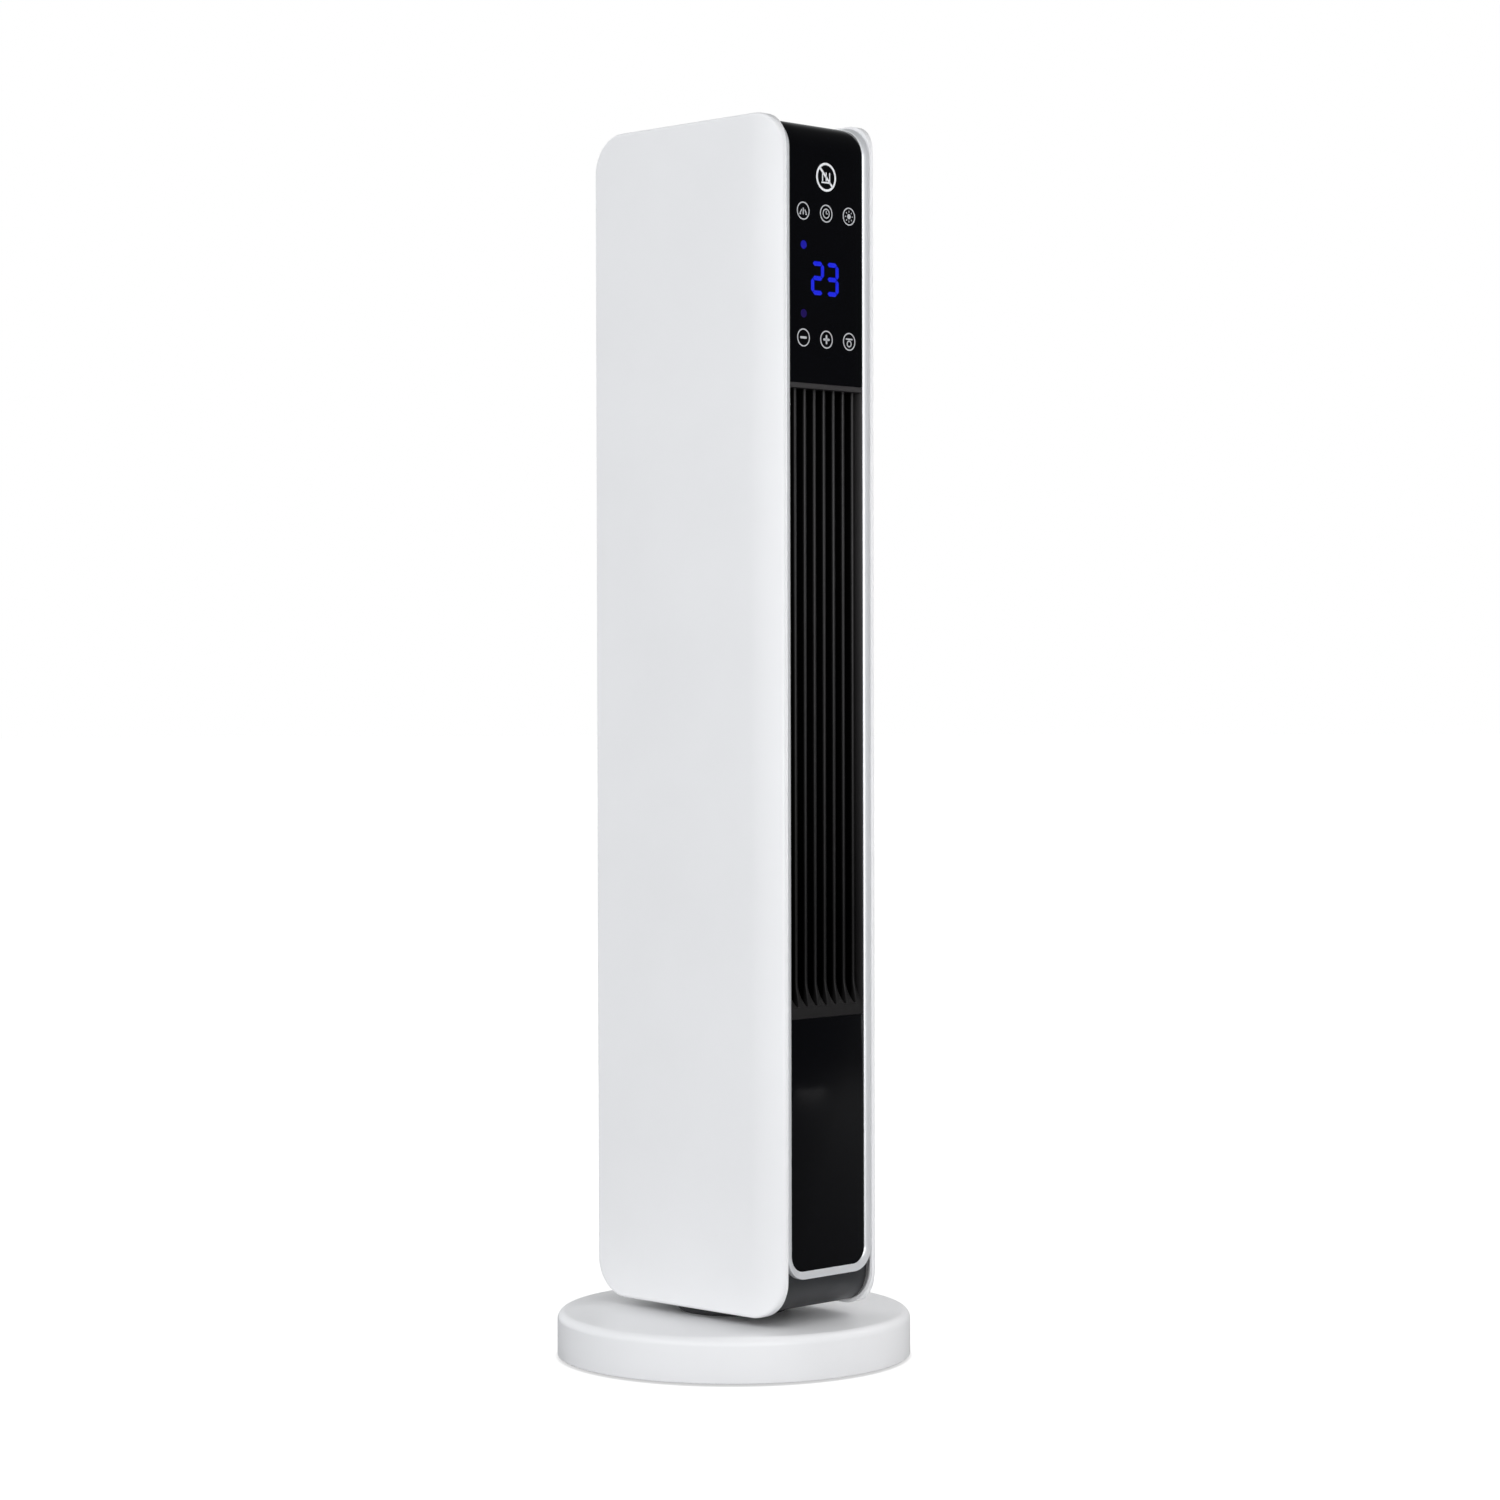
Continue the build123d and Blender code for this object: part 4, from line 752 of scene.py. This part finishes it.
def vane_rings(x, low, high):
    """One vane: a round nose on a thinner body; the nose sweeps forward and widens at the foot."""
    back = high.y - 1.0
    top = high.z - LIP + 0.6
    heights = [top - (top - RAMP_HIGH - 4.0) * k / 12 for k in range(13)]
    steps = 16
    foot = RAMP_HIGH + 4.0
    heights += [foot - (foot - RAMP_LOW + 1.0) * k / steps for k in range(1, steps + 1)]
    rings = []
    for z in heights:
        share = max(0.0, min(1.0, (foot - z) / (foot - RAMP_LOW)))
        sweep = share ** 1.8
        nose = low.y + RECESS - (RECESS - 0.15) * sweep
        half = NOSE_WIDTH / 2 * (1 + 2.4 * share ** 3)
        body = BODY_WIDTH / 2 + half - NOSE_WIDTH / 2
        turns = [pi * k / NOSE_STEPS for k in range(NOSE_STEPS + 1)]
        nose_arc = [(x + half * cos(turn), nose + NOSE_DEPTH * (1 - sin(turn)), z) for turn in turns]
        rings.append([(x - body, back, z), (x + body, back, z), (x + body, nose + 3.2, z)]
                     + nose_arc + [(x - body, nose + 3.2, z)])
    return rings


def outlet_grille():
    """Dark frame with its row of upright vanes."""
    low, high = box_mm("outlet_grille")
    bm = bmesh.new()
    add_rings(bm, grille_frame_rings(low, high), loop=True)
    for index in range(VANE_COUNT):
        x = (index - (VANE_COUNT - 1) / 2) * VANE_PITCH
        add_rings(bm, vane_rings(x, low, high))
    finish_mesh("grille_vanes", bm_to_mesh("grille_vanes", bm), TOWER, GRILLE_PAINTED_SHADE,
                ("outlet_grille",), sharp=40)


# ---------------------------------------------------------------- touch panel marks
MARK_DEPTH = 0.08
KEY_X = 21.9
KEY_ROW_GAP = 83.2
ICON_R = 5.95
ICON_STROKE = 0.8
RING_STEPS = 48
DIGIT_WIDTH = 12.4
DIGIT_HEIGHT = 22.2
DIGIT_STROKE = 3.0
LIGHT_R = 2.8


def mark(bm, outline, face_y):
    """A thin printed shape on the fascia from a counter-clockwise (x, z) outline."""
    place = facing_front(face_y + 0.02)
    add_rings(bm, [[place(u, v, w) for u, v in outline] for w in (0.0, MARK_DEPTH)])


def mark_ring(bm, cx, cz, outer, inner, face_y):
    """A thin printed ring on the fascia."""
    place = facing_front(face_y + 0.02)
    rings = []
    for index in range(RING_STEPS):
        angle = radians(360 * index / RING_STEPS)
        ring = []
        for radius, w in ((inner, 0), (outer, 0), (outer, MARK_DEPTH), (inner, MARK_DEPTH)):
            ring.append(place(cx + radius * cos(angle), cz + radius * sin(angle), w))
        rings.append(ring)
    add_rings(bm, rings, loop=True)


def mark_bar(bm, cx, cz, length, width, angle, face_y):
    """Straight bar with round ends, centred on (cx, cz)."""
    half = length / 2 - width / 2
    points = arc_points(half, 0, width / 2, -90, 90, 6) + arc_points(-half, 0, width / 2, 90, 270, 6)
    turn = radians(angle)
    outline = [(cx + u * cos(turn) - v * sin(turn), cz + u * sin(turn) + v * cos(turn)) for u, v in points]
    mark(bm, outline, face_y)


def mark_disc(bm, cx, cz, radius, face_y):
    mark(bm, arc_points(cx, cz, radius, 0, 350, 35), face_y)


def key_swing(bm, x, z, y):
    """Swing key: an arrow to each side from one stem."""
    mark_bar(bm, x, z - 0.2, 4.6, 0.9, 90, y)
    for side in (-1, 1):
        mark_bar(bm, x + side * 2.2, z - 0.4, 3.2, 0.8, 90 + side * 32, y)
        mark_bar(bm, x + side * 2.9, z - 2.2, 1.6, 0.8, 0, y)


def key_clock(bm, x, z, y):
    """Timer key: a smaller ring with two hands."""
    mark_ring(bm, x, z, 3.3, 2.6, y)
    mark_bar(bm, x, z + 0.8, 2.4, 0.6, 90, y)
    mark_bar(bm, x + 0.7, z - 0.1, 1.9, 0.6, 0, y)


def key_level(bm, x, z, y):
    """Heat level key: a dot with short rays."""
    mark_disc(bm, x, z, 1.7, y)
    for index in range(8):
        angle = 45 * index
        turn = radians(angle)
        mark_bar(bm, x + 3.3 * cos(turn), z + 3.3 * sin(turn), 1.3, 0.55, angle, y)


def key_minus(bm, x, z, y):
    mark_bar(bm, x, z, 6.4, 1.5, 0, y)


def key_plus(bm, x, z, y):
    mark_bar(bm, x, z, 6.2, 1.5, 0, y)
    mark_bar(bm, x, z, 6.2, 1.5, 90, y)


def key_mode(bm, x, z, y):
    """Mode key: a bar over a small ring."""
    mark_bar(bm, x, z + 1.7, 6.6, 1.0, 0, y)
    mark_ring(bm, x, z - 1.4, 2.3, 1.5, y)


def touch_keys():
    """Printed rings and signs of the six touch keys and the top sign."""
    low, high = box_mm("upper_fascia")
    springs_low, springs_high = box_mm("touch_springs")
    key_low = springs_low.z + 5.0
    sign_z = springs_high.z - 5.0
    key_high = key_low + KEY_ROW_GAP
    face = low.y
    keys = [
        ("key_swing", -KEY_X, key_high, key_swing), ("key_timer", 0.0, key_high, key_clock),
        ("key_level", KEY_X, key_high, key_level), ("key_minus", -KEY_X, key_low, key_minus),
        ("key_plus", 0.0, key_low, key_plus), ("key_mode", KEY_X, key_low, key_mode),
    ]
    for name, x, z, draw in keys:
        bm = bmesh.new()
        mark_ring(bm, x, z, ICON_R, ICON_R - ICON_STROKE, face)
        draw(bm, x, z, face)
        finish_mesh(name, bm_to_mesh(name, bm), TOWER, KEY_PRINT_PAINTED_GLOW)
    bm = bmesh.new()
    mark_ring(bm, 0, sign_z, 9.5, 8.0, face)
    mark_bar(bm, 0, sign_z, 17.0, 1.5, -45, face)
    for step in (-3.4, 0.0, 3.4):
        mark_bar(bm, step, sign_z + 0.2, 6.2, 0.9, 90, face)
    mark_bar(bm, 0, sign_z - 3.6, 9.0, 0.9, 0, face)
    finish_mesh("sign_ring", bm_to_mesh("sign_ring", bm), TOWER, SIGN_PRINT_PAINTED_GLOW)


SEGMENTS = {"2": "abged", "3": "abgcd"}


def digit(bm, text, cx, cz, width, height, stroke, face):
    """Seven-segment figure with mitred strokes."""
    w, h = width / 2 - stroke / 2, height / 2 - stroke / 2
    runs = {
        "a": ((-w, h), (w, h)), "b": ((w, h), (w, 0)), "c": ((w, 0), (w, -h)),
        "d": ((-w, -h), (w, -h)), "e": ((-w, 0), (-w, -h)), "g": ((-w, 0), (w, 0)),
    }
    for key in SEGMENTS[text]:
        (x0, z0), (x1, z1) = runs[key]
        length = hypot(x1 - x0, z1 - z0)
        ux, uz = (x1 - x0) / length, (z1 - z0) / length
        half = stroke / 2
        tip = 0.25
        shape = [(tip, 0), (tip + half, -half), (length - tip - half, -half), (length - tip, 0),
                 (length - tip - half, half), (tip + half, half)]
        mark(bm, [(cx + x0 + u * ux - v * uz, cz + z0 + u * uz + v * ux) for u, v in shape], face)


def display():
    """Lit figures and indicator dots behind the fascia."""
    low, high = box_mm("upper_fascia")
    shown_low, shown_high = box_mm("led_display")
    lights_low, lights_high = box_mm("indicator_lights")
    middle = (shown_low.z + shown_high.z) / 2 + 1.2
    bm = bmesh.new()
    for text, x in (("2", -8.4), ("3", 5.6)):
        digit(bm, text, x, middle, DIGIT_WIDTH, DIGIT_HEIGHT, DIGIT_STROKE, low.y)
    finish_mesh("display_figures", bm_to_mesh("display_figures", bm), TOWER, DIGIT)
    for name, z, material in (("light_upper", lights_high.z - 0.8, MID_LIGHT),
                              ("light_lower", lights_low.z + 0.8, DIM_LIGHT)):
        bm = bmesh.new()
        mark_disc(bm, (lights_low.x + lights_high.x) / 2 - 1.0, z, LIGHT_R, low.y)
        finish_mesh(name, bm_to_mesh(name, bm), TOWER, material)


# ---------------------------------------------------------------- camera, light and floor
def camera():
    """Long lens at the height of the tower's middle, looking at its front left edge."""
    data = bpy.data.cameras.new("camera")
    data.lens = 88.4
    data.sensor_width = 36.0
    data.clip_end = 50.0
    view = bpy.data.objects.new("camera", data)
    bpy.context.scene.collection.objects.link(view)
    yaw, pitch, roll = radians(45.225), radians(0.819), radians(-0.141)
    forward = Vector((sin(yaw) * cos(pitch), cos(yaw) * cos(pitch), -sin(pitch)))
    level = Vector((cos(yaw), -sin(yaw), 0))
    upright = level.cross(forward)
    right = level * cos(roll) + upright * sin(roll)
    up = upright * cos(roll) - level * sin(roll)
    turn = Matrix((right, up, -forward)).transposed()
    view.matrix_world = Matrix.Translation((-1.76882, -1.77178, 0.44726)) @ turn.to_4x4()
    bpy.context.scene.camera = view


def softbox(name, place, target, width, height, power, mirrored):
    data = bpy.data.lights.new(name, "AREA")
    data.shape = "RECTANGLE"
    data.size = width
    data.size_y = height
    data.energy = power
    lamp = bpy.data.objects.new(name, data)
    bpy.context.scene.collection.objects.link(lamp)
    lamp.location = place
    lamp.rotation_euler = (Vector(target) - Vector(place)).to_track_quat("-Z", "Y").to_euler()
    lamp.visible_camera = False
    lamp.visible_glossy = mirrored


# Soft lobes of light from the studio's walls and ceiling: direction, sharpness, brightness.
LOBES = (
    ((-1.0, 0.0, 0.10), 4.0, 0.62),
    ((-0.8, -0.6, 0.15), 4.0, 1.57),
    ((-0.7, 0.7, 0.10), 4.0, 0.30),
    ((0.1, 1.0, 0.15), 4.0, 1.20),
    ((0.0, 0.0, 1.0), 3.0, 0.03),
    ((-0.8, 0.2, 0.6), 8.0, 1.10),
)
ROOM_LEVEL = 0.05
# Soft boxes: name, place, aim, width, height, power in watts, and whether gloss mirrors it.
SOFTBOXES = (
    ("near_front", (-0.45, -1.25, 0.45), (0, 0, 0.45), 0.4, 1.5, 6.7, True),
    ("right_front", (1.4, -0.5, 1.1), (0, 0, 0.1), 0.8, 0.8, 12.0, False),
    ("right_rear", (2.0, 0.8, 0.8), (0, 0, 0.4), 1.0, 1.2, 13.0, False),
    ("low_front", (0.9, -1.3, 0.15), (0, 0, 0.02), 0.6, 0.2, 4.0, False),
)


def studio():
    """White room: bright backdrop to the eye, soft lobes of light, and a few soft boxes."""
    world = bpy.data.worlds.new("studio")
    bpy.context.scene.world = world
    world.use_nodes = True
    nodes, links = world.node_tree.nodes, world.node_tree.links
    out = nodes["World Output"]
    room = nodes["Background"]
    room.inputs["Color"].default_value = (0.97, 0.985, 1.0, 1)
    place = nodes.new("ShaderNodeTexCoord")
    dim = nodes.new("ShaderNodeValue")
    dim.outputs[0].default_value = ROOM_LEVEL
    level = dim.outputs[0]
    for direction, sharpness, brightness in LOBES:
        towards = nodes.new("ShaderNodeVectorMath")
        towards.operation = "DOT_PRODUCT"
        towards.inputs[1].default_value = Vector(direction).normalized()
        links.new(place.outputs["Generated"], towards.inputs[0])
        keep = math_node(nodes, links, "MAXIMUM", towards.outputs["Value"], 0.0)
        narrow = math_node(nodes, links, "POWER", keep, sharpness)
        glow = math_node(nodes, links, "MULTIPLY", narrow, brightness)
        level = math_node(nodes, links, "ADD", glow, level)
    links.new(level, room.inputs["Strength"])
    backdrop = nodes.new("ShaderNodeBackground")
    backdrop.inputs["Color"].default_value = (1, 1, 1, 1)
    backdrop.inputs["Strength"].default_value = 1.0
    eye = nodes.new("ShaderNodeLightPath")
    mix = nodes.new("ShaderNodeMixShader")
    links.new(eye.outputs["Is Camera Ray"], mix.inputs["Fac"])
    links.new(room.outputs["Background"], mix.inputs[1])
    links.new(backdrop.outputs["Background"], mix.inputs[2])
    links.new(mix.outputs["Shader"], out.inputs["Surface"])
    for box in SOFTBOXES:
        softbox(*box)


# The floor's glow to the eye, with a painted shadow: lower under the base, full just outside its rim.
UNDER_R = 0.1190
OPEN_R = 0.1225
PAINTED_SHADOW_GLOW = 0.60
OPEN_GLOW = 0.90


def floor():
    """Pale floor that fades into the backdrop, takes a faint shadow and has a painted shadow under the
    base.
    """
    bm = bmesh.new()
    rings = []
    segments = 64
    turns = [2 * pi * k / segments for k in range(segments)]
    for radius in (0.01, 0.2, 0.6, 2.0, 8.0, 40.0):
        rings.append([bm.verts.new((radius * cos(turn), radius * sin(turn), 0)) for turn in turns])
    for first, second in zip(rings, rings[1:]):
        for index in range(segments):
            after = (index + 1) % segments
            bm.faces.new((first[index], second[index], second[after], first[after]))
    bm.faces.new(rings[0])
    mesh = bpy.data.meshes.new("floor")
    bm.to_mesh(mesh)
    bm.free()
    material = bpy.data.materials.new("floor")
    material.use_nodes = True
    nodes, links = material.node_tree.nodes, material.node_tree.links
    nodes.remove(nodes["Principled BSDF"])
    out = nodes["Material Output"]
    seen_glow = nodes.new("ShaderNodeEmission")
    place = nodes.new("ShaderNodeTexCoord")
    reach = nodes.new("ShaderNodeVectorMath")
    reach.operation = "LENGTH"
    links.new(place.outputs["Object"], reach.inputs[0])
    # Painted shadow: the glow seen by the eye drops under the base's rim.
    painted_shadow = value_between(nodes, links, reach.outputs["Value"], PAINTED_SHADOW_GLOW, OPEN_GLOW, UNDER_R, OPEN_R)
    links.new(painted_shadow, seen_glow.inputs["Strength"])
    seen_matt = nodes.new("ShaderNodeBsdfDiffuse")
    seen_matt.inputs["Color"].default_value = (0.25, 0.25, 0.25, 1)
    seen = nodes.new("ShaderNodeAddShader")
    links.new(seen_glow.outputs["Emission"], seen.inputs[0])
    links.new(seen_matt.outputs["BSDF"], seen.inputs[1])
    eye = nodes.new("ShaderNodeLightPath")
    tone = nodes.new("ShaderNodeMix")
    tone.data_type = "RGBA"
    tone.inputs["A"].default_value = (0.55, 0.55, 0.56, 1)
    tone.inputs["B"].default_value = (0.10, 0.10, 0.10, 1)
    links.new(eye.outputs["Is Glossy Ray"], tone.inputs["Factor"])
    bounce = nodes.new("ShaderNodeBsdfDiffuse")
    links.new(tone.outputs["Result"], bounce.inputs["Color"])
    mix = nodes.new("ShaderNodeMixShader")
    links.new(eye.outputs["Is Camera Ray"], mix.inputs["Fac"])
    links.new(bounce.outputs["BSDF"], mix.inputs[1])
    links.new(seen.outputs["Shader"], mix.inputs[2])
    links.new(mix.outputs["Shader"], out.inputs["Surface"])
    mesh.materials.append(material)
    ground = bpy.data.objects.new("floor", mesh)
    bpy.context.scene.collection.objects.link(ground)


bpy.context.scene.view_settings.view_transform = "Standard"
dress_cad_nodes()
for panel_side in (-1, 1):
    side_panel(panel_side)
base_cover()
upper_fascia()
lower_fascia()
front_trim()
lower_cover()
outlet_grille()
touch_keys()
display()
floor()
studio()
camera()
